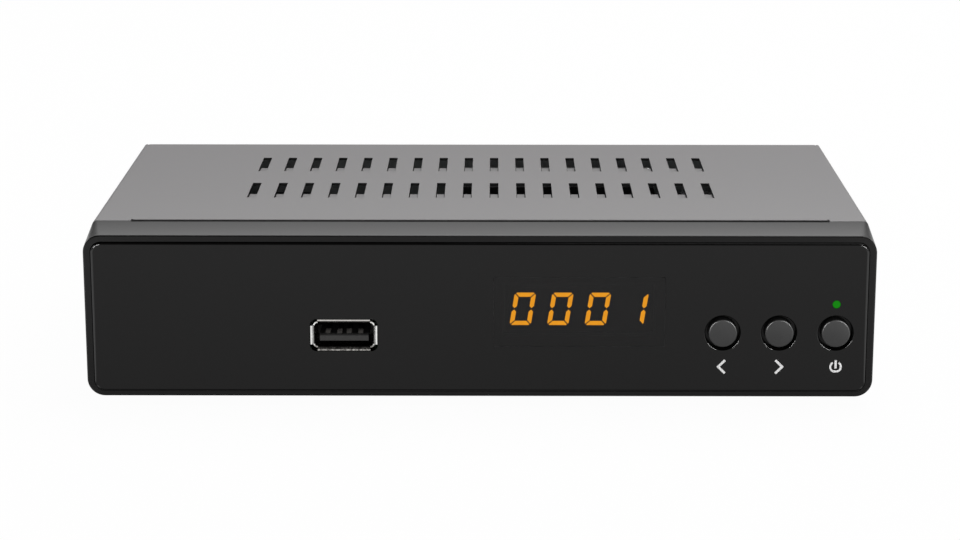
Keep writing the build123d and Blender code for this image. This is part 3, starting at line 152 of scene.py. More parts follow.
# The camera, gloss and clear pieces see it nearly as bright as the wall. All other light finds lit paper.
glow_level = add_node(tree, "Mix", {"data_type": "FLOAT"}, {
    "Factor": ray["Is Glossy Ray"], "A": 1.0, "B": in_gloss})
glow = add_node(tree, "Emission", {}, {"Color": (1, 1, 1, 1), "Strength": glow_level})
lit = add_node(tree, "BsdfDiffuse", {}, {"Color": linear("f4f4f4")})
glow_share = 0.97
seen = add_node(tree, "Math", {"operation": "MAXIMUM"}, {0: ray["Is Camera Ray"], 1: ray["Is Glossy Ray"]})
seen = add_node(tree, "Math", {"operation": "MAXIMUM"}, {0: seen, 1: ray["Is Transmission Ray"]})
share = add_node(tree, "Math", {"operation": "MULTIPLY"}, {0: seen, 1: glow_share})
mixed = add_node(tree, "MixShader", {}, {0: share, 1: lit, 2: glow})
add_node(tree, "OutputMaterial", {}, {"Surface": mixed})
floor.data.materials.append(paper)


def soft_lamp(name, place, width, height, watts, at=(0, 0, 20 * MM), roll=0.0, glints_on=None):
    """Rectangular lamp that faces a point, by default one in the middle of the case, and is rolled by an
    angle. It lights all, or draws glints alone on some pieces."""
    lamp = bpy.data.lights.new(name, "AREA")
    lamp.shape = "RECTANGLE"
    lamp.size = width
    lamp.size_y = height
    lamp.energy = watts
    holder = bpy.data.objects.new(name, lamp)
    holder.location = place
    aim = (Vector(at) - Vector(place)).to_track_quat("-Z", "Y")
    holder.rotation_euler = (aim @ Quaternion((0, 0, 1), roll)).to_euler()
    if glints_on:
        holder.visible_diffuse = False
        holder.light_linking.receiver_collection = glints_on
    scene.collection.objects.link(holder)
    return holder


soft_lamp("overhead_lamp", place=(0.3, 0.38, 1.1), width=1.3, height=0.7, watts=10.6)
soft_lamp("left_lamp", place=(-0.95, -0.4, 0.6), width=0.2, height=0.2, watts=1.2)
soft_lamp("right_lamp", place=(0.95, -0.4, 0.6), width=0.2, height=0.2, watts=1.6)
polished = bpy.data.collections.new("polished pieces of the front")
for name in ("fascia_panel", "channel_down_button", "channel_up_button", "power_button",
             "usb_shell", "usb_contacts"):
    polished.objects.link(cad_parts[name])
for name, place, roll in (("left_strip", (-0.56, -0.90, 0.33), -59),
                          ("right_strip", (0.665, -0.91, 0.36), 66)):
    soft_lamp(name, place, width=0.1, height=0.6, watts=15.0, roll=math.radians(roll), glints_on=polished)
inner_light = soft_lamp("inner_light", place=(0, -35 * MM, 30 * MM), width=150 * MM, height=8 * MM,
                        watts=0.001, at=(0, 40 * MM, 30 * MM))
inner_light.visible_camera = False

# A long lens, a little over half a metre from the front and above it.
lens = bpy.data.cameras.new("long_lens")
lens.sensor_width = 36.0
lens.lens = 96.2
camera = bpy.data.objects.new("long_lens", lens)
looks_down = 13.994             # degrees
looks_aside = 0.315
camera.location = (2.98 * MM, -581.8 * MM, 161.6 * MM)
camera.rotation_euler = (math.radians(90 - looks_down), 0, math.radians(looks_aside))
scene.collection.objects.link(camera)
scene.camera = camera

# ------------------------------------------------------------------ steel base
# The pan is one pressing of 0.6 mm hot-dip galvanised sheet. Its four sides are folded up, the rear one into
# the panel that carries the sockets, and four hollow cones are pressed up for the main board.


def finish(name, colour, roughness, metallic=0.0, specular=0.5):
    """Material with its shader, and the place on the piece from which each pattern is drawn."""
    material = bpy.data.materials.new(name)
    tree = empty_tree(material)
    shader = add_node(tree, "BsdfPrincipled", {}, {
        "Base Color": linear(colour), "Roughness": roughness, "Metallic": metallic,
        "Specular IOR Level": specular})
    add_node(tree, "OutputMaterial", {}, {"Surface": shader})
    return material, tree, shader, add_node(tree, "TexCoord").outputs["Object"]


def vary(tree, shader, pattern, tones=None, dullness=None, depth=None):
    """Lets a pattern vary a finish: between two tones, between two levels of roughness, or in relief with a
    depth in metres."""
    if tones:
        tone = add_node(tree, "ValToRGB", {}, {0: pattern})
        for stop, colour in zip(tone.color_ramp.elements, tones):
            stop.color = linear(colour)
        tree.links.new(tone.outputs[0], shader.inputs["Base Color"])
    if dullness:
        sheen = add_node(tree, "MapRange", {}, {
            "Value": pattern, "To Min": dullness[0], "To Max": dullness[1]})
        tree.links.new(sheen.outputs[0], shader.inputs["Roughness"])
    if depth:
        relief = add_node(tree, "Bump", {}, {"Height": pattern, "Distance": depth, "Strength": 1.0})
        tree.links.new(relief.outputs[0], shader.inputs["Normal"])


def give(material, *names):
    """Puts a material on the named pieces of the frame."""
    for name in names:
        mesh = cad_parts[name].data
        mesh.materials.clear()
        mesh.materials.append(material)


# Zinc freezes in flat crystals a few millimetres wide. Each mirrors the light at its own angle, so the sheet
# is a patchwork of slightly lighter and darker, smoother and duller grey.
galvanised, tree, shader, place = finish("hot-dip galvanised steel", "aeb1b3", roughness=0.4, metallic=1.0)
crystal_width = 4 * MM
roll_grain = 0.4 * MM
crystals = add_node(tree, "TexVoronoi", {}, {"Vector": place, "Scale": 1 / crystal_width})
vary(tree, shader, crystals.outputs["Color"], tones=("9fa2a5", "bdbfc0"), dullness=(0.32, 0.5))
rolling = add_node(tree, "TexNoise", {}, {"Vector": place, "Scale": 1 / roll_grain, "Detail": 3.0})
vary(tree, shader, rolling, depth=0.004 * MM)
give(galvanised, "base_chassis")

# ------------------------------------------------------------------ rubber feet
# Four tapered feet of black rubber, each pulled through a hole of the pan by its stem. The rubber comes from
# the mould dull, with a fine grain, and is greyer where it has rubbed on the table.
rubber, tree, shader, place = finish("moulded black rubber", "1b1b1c", roughness=0.85, specular=0.3)
mould_grain = 0.5 * MM
grain = add_node(tree, "TexNoise", {}, {"Vector": place, "Scale": 1 / mould_grain, "Detail": 4.0})
vary(tree, shader, grain, depth=0.03 * MM)
worn_height = 0.6 * MM
height = add_node(tree, "SeparateXYZ", {}, {0: place}).outputs["Z"]
unworn_and_shaded = add_node(tree, "MapRange", {}, {"Value": height, "From Min": 0.0, "From Max": worn_height})
vary(tree, shader, unworn_and_shaded, tones=("323231", "1b1b1c"))
give(rubber, "rubber_feet")

# ------------------------------------------------------------------ circuit boards
# The main board lies on the cones and the front board stands behind the buttons. Both are glass fibre with
# green solder resist, which is paler over the copper and stands a little proud there.
resist, tree, shader, place = finish("green solder resist", "0e4b27", roughness=0.3)
copper = add_node(tree, "TexBrick", {"offset": 0.37}, {
    "Vector": place, "Scale": 1 / (1.0 * MM), "Mortar Size": 0.12, "Brick Width": 4.3, "Row Height": 0.9,
    "Color1": linear("0b4122"), "Color2": linear("0f4b28"), "Mortar": linear("1c6a3c")})
tree.links.new(copper.outputs["Color"], shader.inputs["Base Color"])
vary(tree, shader, copper.outputs["Fac"], depth=0.03 * MM)
give(resist, "main_board", "front_board")

# The boards' screws are steel with bright zinc, tumbled to a satin, and lightly marked by the driver.
zinc, tree, shader, place = finish("bright zinc plate", "b9bcc0", roughness=0.3, metallic=1.0)
scuff_size = 0.4 * MM
scuffs = add_node(tree, "TexNoise", {}, {"Vector": place, "Scale": 1 / scuff_size, "Detail": 3.0})
vary(tree, shader, scuffs, dullness=(0.2, 0.42))
give(zinc, "board_screws", "front_board_screws")

# ------------------------------------------------------------------ chips and coils
# Processor and memories are moulded in black epoxy, matt from a blasted mould. The coils are of pressed
# ferrite, which has the same dark grey, sandy skin.
epoxy, tree, shader, place = finish("moulded epoxy", "242527", roughness=0.6)
grit_size = 0.15 * MM
grit = add_node(tree, "TexNoise", {}, {"Vector": place, "Scale": 1 / grit_size, "Detail": 2.0})
vary(tree, shader, grit, depth=0.01 * MM)
give(epoxy, "processor", "memory_chips", "power_inductors")

# ------------------------------------------------------------------ heat sink
# A comb of extruded aluminium, anodised black and glued on the processor. The die leaves fine lines along
# the fins, and the anodising keeps them.
anodised, tree, shader, place = finish("black anodised aluminium", "2b2b2d", roughness=0.45, metallic=1.0)
line_width = 0.2 * MM
line_length = 20 * MM
stretch = add_node(tree, "Mapping", {}, {
    "Vector": place, "Scale": (1 / line_width, 1 / line_length, 1 / line_width)})
lines = add_node(tree, "TexNoise", {}, {"Vector": stretch, "Scale": 1.0, "Detail": 2.0})
vary(tree, shader, lines, depth=0.01 * MM)
give(anodised, "heatsink")

# ------------------------------------------------------------------ capacitors
# Aluminium cans in a shrunk vinyl sleeve, which is dark and glossy down the sides. It leaves the top bare,
# so that shows plain rolled metal.
sleeve, tree, shader, place = finish("vinyl sleeve on aluminium", "16181d", roughness=0.28)
facing = add_node(tree, "SeparateXYZ", {}, {0: add_node(tree, "TexCoord").outputs["Normal"]}).outputs
nearly_flat = 0.9
bare = add_node(tree, "Math", {"operation": "GREATER_THAN"}, {0: facing["Z"], 1: nearly_flat})
skin = add_node(tree, "Mix", {"data_type": "RGBA"}, {
    "Factor": bare, "A": linear("16181d"), "B": linear("c4c6c8")})
tree.links.new(skin.outputs["Result"], shader.inputs["Base Color"])
tree.links.new(bare.outputs[0], shader.inputs["Metallic"])
ripple_width = 3 * MM
ripple = add_node(tree, "TexNoise", {}, {"Vector": place, "Scale": 1 / ripple_width, "Detail": 1.0})
vary(tree, shader, ripple, depth=0.05 * MM)
give(sleeve, "electrolytic_capacitors")

# ------------------------------------------------------------------ tinned shells
# The tuner's can and lid, the crystal and the shells of the digital sockets are folded from tin plate. It is
# bright, a little streaky from the rolls and blotchy from handling.


def tin_plate(name):
    """Tin plate as it comes from the rolls and from handling, before a plug has scuffed it."""
    material, tree, shader, place = finish(name, "e2e2e0", roughness=0.24, metallic=1.0)
    blotch_size = 1.2 * MM
    blotches = add_node(tree, "TexNoise", {}, {
        "Vector": place, "Scale": 1 / blotch_size, "Detail": 5.0, "Roughness": 0.6})
    sheen = add_node(tree, "MapRange", {}, {
        "Value": blotches, "From Min": 0.3, "From Max": 0.7, "To Min": 0.14, "To Max": 0.34})
    tree.links.new(sheen.outputs[0], shader.inputs["Roughness"])
    vary(tree, shader, blotches, depth=0.02 * MM)
    return material, tree, shader, place


tin, tree, shader, place = tin_plate("bright tin plate")
give(tin, "tuner_can", "tuner_lid", "clock_crystal", "hdmi_shell")

# Plugs slide in over the lower flap of the front socket, so its plating is scuffed. Its mottled grey is
# partly those scuffs and partly a painted reflection of the shaded paper below. The upper flap is plain, and
# a little greyer than new.
scuffed_and_shaded_tin, tree, shader, place = tin_plate("tin plate scuffed by plugs, shaded inside")
scuff_size = 0.5 * MM
scuffs = add_node(tree, "TexNoise", {}, {
    "Vector": place, "Scale": 1 / scuff_size, "Detail": 4.0, "Roughness": 0.7})
grey = add_node(tree, "ValToRGB", {}, {0: scuffs})
for stop, position, colour in zip(grey.color_ramp.elements, (0.4, 0.62), ("4a4846", "b0aeaa")):
    stop.position = position
    stop.color = linear(colour)
shell_low, shell_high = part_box("usb_shell")
lower_flap_top = shell_low.z + 0.8 * MM
upper_flap_foot = shell_high.z - 1.0 * MM
spot = add_node(tree, "SeparateXYZ", {}, {0: place}).outputs
lower_flap_scuffs_and_shade = add_node(tree, "MapRange", eased, {
    "Value": spot["Z"], "From Min": lower_flap_top, "From Max": lower_flap_top + 0.6 * MM,
    "To Min": 1.0, "To Max": 0.0})
high_up = add_node(tree, "MapRange", eased, {
    "Value": spot["Z"], "From Min": upper_flap_foot, "From Max": upper_flap_foot + 0.5 * MM})
plating = add_node(tree, "Mix", {"data_type": "RGBA"}, {
    "Factor": high_up, "A": linear("e2e2e0"), "B": linear("b9b7b3")}).outputs["Result"]
plating = add_node(tree, "Mix", {"data_type": "RGBA"}, {
    "Factor": lower_flap_scuffs_and_shade, "A": plating, "B": grey}).outputs["Result"]
# Behind the flaps the plating is painted a dark grey, as shade inside the socket. The cut edges stay bright.
flaps_back = shell_low.y + 0.15 * MM
inside = add_node(tree, "MapRange", {}, {
    "Value": spot["Y"], "From Min": flaps_back, "From Max": flaps_back + 0.3 * MM})
facing = add_node(tree, "SeparateXYZ", {}, {0: add_node(tree, "TexCoord").outputs["Normal"]}).outputs
off_edge = add_node(tree, "Math", {"operation": "GREATER_THAN"}, {0: facing["Y"], 1: -nearly_flat})
inside = add_node(tree, "Math", {"operation": "MULTIPLY"}, {0: inside, 1: off_edge})
plating = add_node(tree, "Mix", {"data_type": "RGBA"}, {
    "Factor": inside, "A": plating, "B": linear("242322")})
tree.links.new(plating.outputs["Result"], shader.inputs["Base Color"])
give(scuffed_and_shaded_tin, "usb_shell")

# ------------------------------------------------------------------ contacts
# Blades and pins are spring bronze with a flash of gold, which wears a little duller where a plug slides.
# Each is pressed into its moulding.
gold, tree, shader, place = finish("gold flash on bronze", "d8b25c", roughness=0.25, metallic=1.0)
wear_size = 0.6 * MM
wear = add_node(tree, "TexNoise", {}, {"Vector": place, "Scale": 1 / wear_size, "Detail": 3.0})
vary(tree, shader, wear, dullness=(0.15, 0.4))
give(gold, "scart_contacts", "aerial_contact", "link_pins")

# The four contacts of the front socket are nickelled instead, and tumbled to a matt finish. Plugs have
# rubbed their front ends grey, and behind those they are painted dark, as shade deep in the socket.
matt_nickel, tree, shader, place = finish(
    "matt nickel on spring bronze", "5e5c59", roughness=0.6, metallic=1.0)
tumbled_grain = 0.5 * MM
tumbled = add_node(tree, "TexNoise", {}, {"Vector": place, "Scale": 1 / tumbled_grain, "Detail": 3.0})
vary(tree, shader, tumbled, dullness=(0.5, 0.7))
contacts_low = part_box("usb_contacts")[0]
wear_ends_shade_starts = contacts_low.y + 2.6 * MM
unworn_and_shaded = add_node(tree, "MapRange", eased, {
    "Value": add_node(tree, "SeparateXYZ", {}, {0: place}).outputs["Y"],
    "From Min": wear_ends_shade_starts, "From Max": wear_ends_shade_starts + 1.6 * MM})
tone = add_node(tree, "Mix", {"data_type": "RGBA"}, {
    "Factor": unworn_and_shaded, "A": linear("4c4a48"), "B": linear("100f0f")})
tree.links.new(tone.outputs["Result"], shader.inputs["Base Color"])
give(matt_nickel, "usb_contacts")

# ------------------------------------------------------------------ black mouldings
# Socket bodies, switches and headers are nylon filled with glass, which dulls the skin and mottles the black
# very slightly.
nylon, tree, shader, place = finish("glass-filled black nylon", "1b1b1c", roughness=0.5, specular=0.4)
fibre_length = 0.3 * MM
glass = add_node(tree, "TexNoise", {}, {"Vector": place, "Scale": 1 / fibre_length, "Detail": 4.0})
vary(tree, shader, glass, tones=("151516", "242425"), depth=0.01 * MM)
give(nylon, "scart_socket", "hdmi_tongue", "audio_block", "power_jack", "link_header",
     "switch_housings", "down_switch_plunger", "up_switch_plunger", "power_switch_plunger",
     "infrared_receiver")

# The tongue of the front socket is unfilled nylon, a cloudy dark grey. Its upper edge and face, where the
# contacts lie in grooves, are dull, and painted darker as shade in the grooves.
tongue_plastic, tree, shader, place = finish("dark grey nylon", "302f2e", roughness=0.38)
cloud_size = 0.5 * MM
cloud = add_node(tree, "TexNoise", {}, {"Vector": place, "Scale": 1 / cloud_size, "Detail": 3.0})
grey = add_node(tree, "ValToRGB", {}, {0: cloud})
grey.color_ramp.elements[0].color = linear("181717")
grey.color_ramp.elements[1].color = linear("2b2a28")
groove_depth = 0.3 * MM
tongue_top = contacts_low.z + groove_depth
upper_edge = add_node(tree, "MapRange", {}, {
    "Value": add_node(tree, "SeparateXYZ", {}, {0: place}).outputs["Z"],
    "From Min": tongue_top - 0.5 * MM, "From Max": tongue_top - 0.25 * MM})
tone = add_node(tree, "Mix", {"data_type": "RGBA"}, {
    "Factor": upper_edge, "A": grey, "B": linear("0e0d0d")})
tree.links.new(tone.outputs["Result"], shader.inputs["Base Color"])
vary(tree, shader, upper_edge, dullness=(0.44, 0.95))
give(tongue_plastic, "usb_tongue")

# ------------------------------------------------------------------ aerial and audio sockets
# Both sleeves are turned from brass and nickelled. The aerial's is screwed through the tuner's wall and held
# by a nut, so it has a rolled thread, 32 to the inch, from the nut to its mouth.
nickel, tree, shader, place = finish("nickel plate on turned brass", "c9c6be", roughness=0.2, metallic=1.0)
turning_marks = 0.5 * MM
turning = add_node(tree, "TexNoise", {}, {"Vector": place, "Scale": 1 / turning_marks, "Detail": 3.0})
vary(tree, shader, turning, dullness=(0.12, 0.3))
give(nickel, "audio_barrel", "aerial_nut", "power_pin")

barrel_low, barrel_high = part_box("aerial_barrel")
nut_gap = 0.2 * MM
thread_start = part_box("aerial_nut")[1].y + nut_gap
thread_crest = 4.75 * MM
thread_root = 4.3 * MM
thread_pitch = 0.794 * MM
barrel_bore = 3.2 * MM
mouth_chamfer = 0.4 * MM
overshoot = 1 * MM
overlap = 0.1 * MM
hair = 0.01 * MM


def apply_modifiers(piece):
    """Applies every modifier of a piece in its order."""
    bpy.context.view_layer.objects.active = piece
    for modifier in list(piece.modifiers):
        bpy.ops.object.modifier_apply(modifier=modifier.name)


def pick(piece, kind, wanted):
    """Opens a piece for editing with only the wanted vertices or faces selected, by the middle of each."""
    bpy.ops.object.select_all(action="DESELECT")
    piece.select_set(True)
    bpy.context.view_layer.objects.active = piece
    bpy.ops.object.mode_set(mode="EDIT")
    bpy.ops.mesh.select_mode(type=kind)
    bpy.ops.mesh.select_all(action="DESELECT")
    bpy.ops.object.mode_set(mode="OBJECT")
    if kind == "VERT":
        for vertex in piece.data.vertices:
            vertex.select = wanted(vertex.co)
    else:
        for face in piece.data.polygons:
            face.select = wanted(face.center)
    bpy.ops.object.mode_set(mode="EDIT")


def tidy_shell():
    """Merges doubles and turns every face outwards, then leaves edit mode."""
    bpy.ops.mesh.select_all(action="SELECT")
    bpy.ops.mesh.remove_doubles(threshold=0.0005 * MM)
    bpy.ops.mesh.normals_make_consistent(inside=False)
    bpy.ops.object.mode_set(mode="OBJECT")


def cut_by(piece, tool, operation):
    """Joins, cuts or trims a piece by a tool, which is then removed."""
    boolean = piece.modifiers.new("cut", "BOOLEAN")
    boolean.operation = operation
    boolean.solver = "EXACT"
    boolean.object = tool
    apply_modifiers(piece)
    bpy.data.objects.remove(tool, do_unlink=True)


def upright_cylinder(name, radius, low, high, sides):
    """Cylinder about Z between two heights."""
    bpy.ops.object.select_all(action="DESELECT")
    bpy.ops.mesh.primitive_cylinder_add(
        radius=radius, depth=high - low, vertices=sides, location=(0, 0, (low + high) / 2))
    made = bpy.context.object
    made.name = name
    bpy.ops.object.transform_apply(location=True, rotation=True, scale=True)
    return made


def threaded_rod(name, core, crest, pitch, low, high, sides, crest_flat=0.2):
    """Rod about Z with a thread between two heights: one tooth is screwed up the axis, then cut to length.
    The flat of its crest is a share of the pitch."""
    bpy.ops.object.select_all(action="DESELECT")
    bpy.ops.mesh.primitive_plane_add(size=pitch, rotation=(math.pi / 2, 0, 0))
    made = bpy.context.object
    made.name = name
    bpy.ops.object.transform_apply(location=True, rotation=True, scale=True)
    pick(made, "VERT", lambda place: place.x < 0)
    bpy.ops.mesh.select_mode(type="EDGE")
    bpy.ops.mesh.delete(type="EDGE")
    bpy.ops.object.mode_set(mode="OBJECT")
    pick(made, "VERT", lambda place: place.x < 0)
    bpy.ops.transform.translate(value=(core + pitch / 2, 0, 0))
    bpy.ops.object.mode_set(mode="OBJECT")
    pick(made, "VERT", lambda place: abs(place.x - pitch / 2) < pitch / 10)
    bpy.ops.transform.resize(value=(1, 1, crest_flat))
    bpy.ops.transform.translate(value=(crest - pitch / 2, 0, 0))
    bpy.ops.object.mode_set(mode="OBJECT")
    turns = made.modifiers.new("turns", "SCREW")
    turns.axis = "Z"
    turns.screw_offset = pitch
    turns.iterations = math.ceil((high - low) / pitch) + 3
    turns.steps = sides
    turns.render_steps = sides
    apply_modifiers(made)
    pick(made, "VERT", lambda place: True)
    bpy.ops.mesh.remove_doubles(threshold=0.0005 * MM)
    for height, cut_below in ((pitch, True), (pitch + high - low, False)):
        bpy.ops.mesh.select_all(action="SELECT")
        bpy.ops.mesh.bisect(plane_co=(0, 0, height), plane_no=(0, 0, 1), use_fill=True,
                            clear_inner=cut_below, clear_outer=not cut_below, threshold=0.0001 * MM)
    bpy.ops.mesh.select_all(action="SELECT")
    bpy.ops.transform.translate(value=(0, 0, low - pitch))
    tidy_shell()
    return made


def settle(piece, turn, place):
    """Turns a piece that was made about Z, moves it to its place and leaves its object at the origin."""
    piece.rotation_euler = turn
    piece.location = place
    bpy.ops.object.select_all(action="DESELECT")
    piece.select_set(True)
    bpy.context.view_layer.objects.active = piece
    bpy.ops.object.transform_apply(location=True, rotation=True, scale=True)
    bpy.ops.object.shade_smooth_by_angle(angle=math.radians(35))


barrel = threaded_rod("aerial_threaded_sleeve", thread_root, thread_crest, thread_pitch,
                      thread_start, barrel_high.y, sides=40)
mouth = upright_cylinder("mouth", thread_crest + hair, thread_start - overshoot, barrel_high.y, sides=64)
pick(mouth, "FACE", lambda place: place.z > barrel_high.y - hair)
bpy.ops.mesh.bevel(offset=mouth_chamfer, segments=1)
tidy_shell()
cut_by(barrel, mouth, "INTERSECT")
core = upright_cylinder("core", thread_root, barrel_low.y, thread_start + overlap, sides=64)
cut_by(barrel, core, "UNION")
bore = upright_cylinder("bore", barrel_bore, barrel_low.y - overshoot, barrel_high.y + overshoot, sides=64)
cut_by(barrel, bore, "DIFFERENCE")
pick(barrel, "VERT", lambda place: True)
tidy_shell()
barrel_place = ((barrel_low.x + barrel_high.x) / 2, 0, (barrel_low.z + barrel_high.z) / 2)
settle(barrel, (-math.pi / 2, 0, 0), barrel_place)
barrel.data.materials.append(nickel)
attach(barrel, "root")
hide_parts("aerial_barrel")

# The aerial socket is lined with pale polyethylene, and the audio cup is orange, as most of its kind are.
# Both are moulded, so they are satin and a little cloudy.
cloud_size = 1 * MM
for name, pale, deep, node in (("natural polyethylene, moulded", "e2dfd4", "cbc7b9", "aerial_insulator"),
                               ("orange polypropylene, moulded", "e07c28", "cc6516", "audio_insulator")):
    insulator, tree, shader, place = finish(name, pale, roughness=0.42)
    cloud = add_node(tree, "TexNoise", {}, {"Vector": place, "Scale": 1 / cloud_size, "Detail": 2.0})
    vary(tree, shader, cloud, tones=(deep, pale))
    give(insulator, node)

# ------------------------------------------------------------------ front bezel
# The frame round the front is moulded in black ABS and hooks under the pan. Its mould was lightly blasted,
# so the skin has a grain of a fifth of a millimetre and turns pale where it mirrors the studio at a slant.
abs_black, tree, shader, place = finish("black ABS, blasted mould", "090808", roughness=0.35, specular=0.2)
grain_size = 0.2 * MM
grain = add_node(tree, "TexNoise", {}, {
    "Vector": place, "Scale": 1 / grain_size, "Detail": 3.0, "Roughness": 0.6})
vary(tree, shader, grain, depth=0.003 * MM)
# The steel of the mould is finer towards the front, where the frame is seen, so the skin is smoother there.
bezel_low, bezel_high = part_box("front_bezel")
spot = add_node(tree, "SeparateXYZ", {}, {0: place}).outputs
sheen = add_node(tree, "MapRange", {}, {
    "Value": spot["Y"], "From Min": bezel_low.y, "From Max": bezel_high.y, "To Min": 0.27, "To Max": 0.4})
# Its rear edge is left as the tool cut it, and the steel cover has rubbed it dull between the corners.
bezel_depth = 14 * MM
rear_edge = bezel_low.y + bezel_depth
rubbed = add_node(tree, "MapRange", {}, {
    "Value": spot["Y"], "From Min": rear_edge - 1.1 * MM, "From Max": rear_edge - 0.6 * MM})
half_straight = 75.5 * MM
aside = add_node(tree, "Math", {"operation": "ABSOLUTE"}, {0: spot["X"]})
between_ends = add_node(tree, "Math", {"operation": "LESS_THAN"}, {0: aside, 1: half_straight})
rubbed = add_node(tree, "Math", {"operation": "MULTIPLY"}, {0: rubbed, 1: between_ends})
sheen = add_node(tree, "Math", {"operation": "MAXIMUM"}, {0: sheen, 1: rubbed})
tree.links.new(sheen.outputs[0], shader.inputs["Roughness"])
give(abs_black, "front_bezel")

# ------------------------------------------------------------------ fascia
# A polished plate of smoked acrylic set in the bezel. It is printed black behind, all but the window of the
# display, where lit bars show through and dark ones don't.
acrylic, tree, shader, place = finish("polished smoked acrylic", "050404", roughness=0.05, specular=0.24)
wave_length = 14 * MM
wave = add_node(tree, "TexNoise", {}, {"Vector": place, "Scale": 1 / wave_length, "Detail": 1.0})
vary(tree, shader, wave, depth=0.01 * MM)
display_low, display_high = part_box("display_housing")
display_middle = (display_low + display_high) / 2
display_half = (display_high - display_low) / 2
spot = add_node(tree, "SeparateXYZ", {}, {0: place}).outputs


def display_window(tree, spot, margin):
    """Is 1 over the display and a margin round it, and 0 elsewhere on the plate."""
    beside = add_node(tree, "Math", {"operation": "COMPARE"}, {
        0: spot["X"], 1: display_middle.x, 2: display_half.x + margin})
    above = add_node(tree, "Math", {"operation": "COMPARE"}, {
        0: spot["Z"], 1: display_middle.z, 2: display_half.z + margin})
    return add_node(tree, "Math", {"operation": "MULTIPLY"}, {0: beside, 1: above})


smoke_tint = 0.22
tinted_margin = 2.4 * MM
smoke = add_node(tree, "Math", {"operation": "MULTIPLY"}, {
    0: display_window(tree, spot, tinted_margin), 1: smoke_tint})
smoked = add_node(tree, "BsdfTransparent", {}, {"Color": smoke})
front = add_node(tree, "AddShader", {}, {0: shader, 1: smoked})
# The tint lets the display be seen past its edge from the side. The back of the plate is matt black ink all
# over, but clear where it is glued to the display.
plate_low, plate_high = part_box("fascia_panel")
glued_margin = 0.6 * MM
behind = add_node(tree, "Math", {"operation": "GREATER_THAN"}, {
    0: spot["Y"], 1: (plate_low.y + plate_high.y) / 2})
glued = add_node(tree, "Math", {"operation": "MULTIPLY"}, {
    0: display_window(tree, spot, glued_margin), 1: behind})
ink = add_node(tree, "BsdfDiffuse", {}, {"Color": linear("020202")})
clear = add_node(tree, "BsdfTransparent", {}, {"Color": (1, 1, 1, 1)})
plate = add_node(tree, "MixShader", {}, {0: behind, 1: front, 2: ink})
plate = add_node(tree, "MixShader", {}, {0: glued, 1: plate, 2: clear})
tree.links.new(plate.outputs[0], shader.outputs[0].links[0].to_socket)
give(acrylic, "fascia_panel")

# ------------------------------------------------------------------ printed marks
# Under the buttons, two arrows and the sign for power are screen printed on the plate. The white ink stands
# a few hundredths of a millimetre proud, and the mesh of the screen has left it faintly uneven.
ink, tree, shader, place = finish("white screen ink", "fafafa", roughness=0.45)
mesh_width = 0.15 * MM
mesh_marks = add_node(tree, "TexNoise", {}, {"Vector": place, "Scale": 1 / mesh_width, "Detail": 1.0})
vary(tree, shader, mesh_marks, tones=("f6f6f6", "ffffff"), depth=0.004 * MM)
marks_z = 9.25 * MM
stroke = 0.5 * MM
arrow_arm = 2.05 * MM
arrow_shift = -0.4 * arrow_arm
ring_radius = 1.12 * MM
ring_stroke = 0.42 * MM
ring_gap = 68.0                 # degrees
ring_steps = 24
bar_width = 0.45 * MM
bar_length = 1.8 * MM
bar_rise = 0.12 * MM
ink_height = 0.035 * MM
ink_bite = 0.01 * MM


def upright_bar(name, width, height, middle, turn=0.0):
    """Flat rectangle that stands in the plane of the plate, turned about the origin."""
    bpy.ops.object.select_all(action="DESELECT")
    bpy.ops.mesh.primitive_plane_add(size=1.0, location=middle, rotation=(math.pi / 2, 0, 0))
    made = bpy.context.object
    made.name = name
    made.scale = (width, height, 1)
    bpy.ops.object.transform_apply(location=True, rotation=True, scale=True)
    made.rotation_euler = (0, turn, 0)
    bpy.ops.object.transform_apply(location=True, rotation=True, scale=True)
    return made


def mirrored(piece, axis):
    """Completes a piece by its mirror image across the origin."""
    half = piece.modifiers.new("other half", "MIRROR")
    half.use_axis = axis
    apply_modifiers(piece)


def lay_ink(mark, button, aside=0.0):
    """Gives a flat mark the thickness of the ink and lays it on the plate under its button."""
    pick(mark, "VERT", lambda place: True)
    tidy_shell()
    layer = mark.modifiers.new("ink", "SOLIDIFY")
    layer.thickness = ink_height + ink_bite
    layer.offset = 0.0
    apply_modifiers(mark)
    low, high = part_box(button)
    mark.location = ((low.x + high.x) / 2 + aside, plate_low.y + (ink_bite - ink_height) / 2, marks_z)
    bpy.ops.object.select_all(action="DESELECT")
    mark.select_set(True)
    bpy.ops.object.transform_apply(location=True, rotation=True, scale=True)
    pick(mark, "VERT", lambda place: True)
    tidy_shell()
    mark.data.materials.append(ink)
    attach(mark, "root")


for name, button, turn in (("channel_down_mark", "channel_down_button", 0.0),
                           ("channel_up_mark", "channel_up_button", math.pi)):
    arrow = upright_bar(name, arrow_arm + stroke, stroke, ((arrow_arm - stroke) / 2, 0, 0), -math.pi / 4)
    pick(arrow, "VERT", lambda place: True)
    bpy.ops.mesh.bisect(plane_co=(0, 0, 0), plane_no=(0, 0, 1), clear_inner=True, threshold=0.0001 * MM)
    bpy.ops.object.mode_set(mode="OBJECT")
    mirrored(arrow, (False, False, True))
    arrow.location = (arrow_shift, 0, 0)
    bpy.ops.object.transform_apply(location=True, rotation=True, scale=True)
    arrow.rotation_euler = (0, turn, 0)
    bpy.ops.object.transform_apply(location=True, rotation=True, scale=True)
    lay_ink(arrow, button)

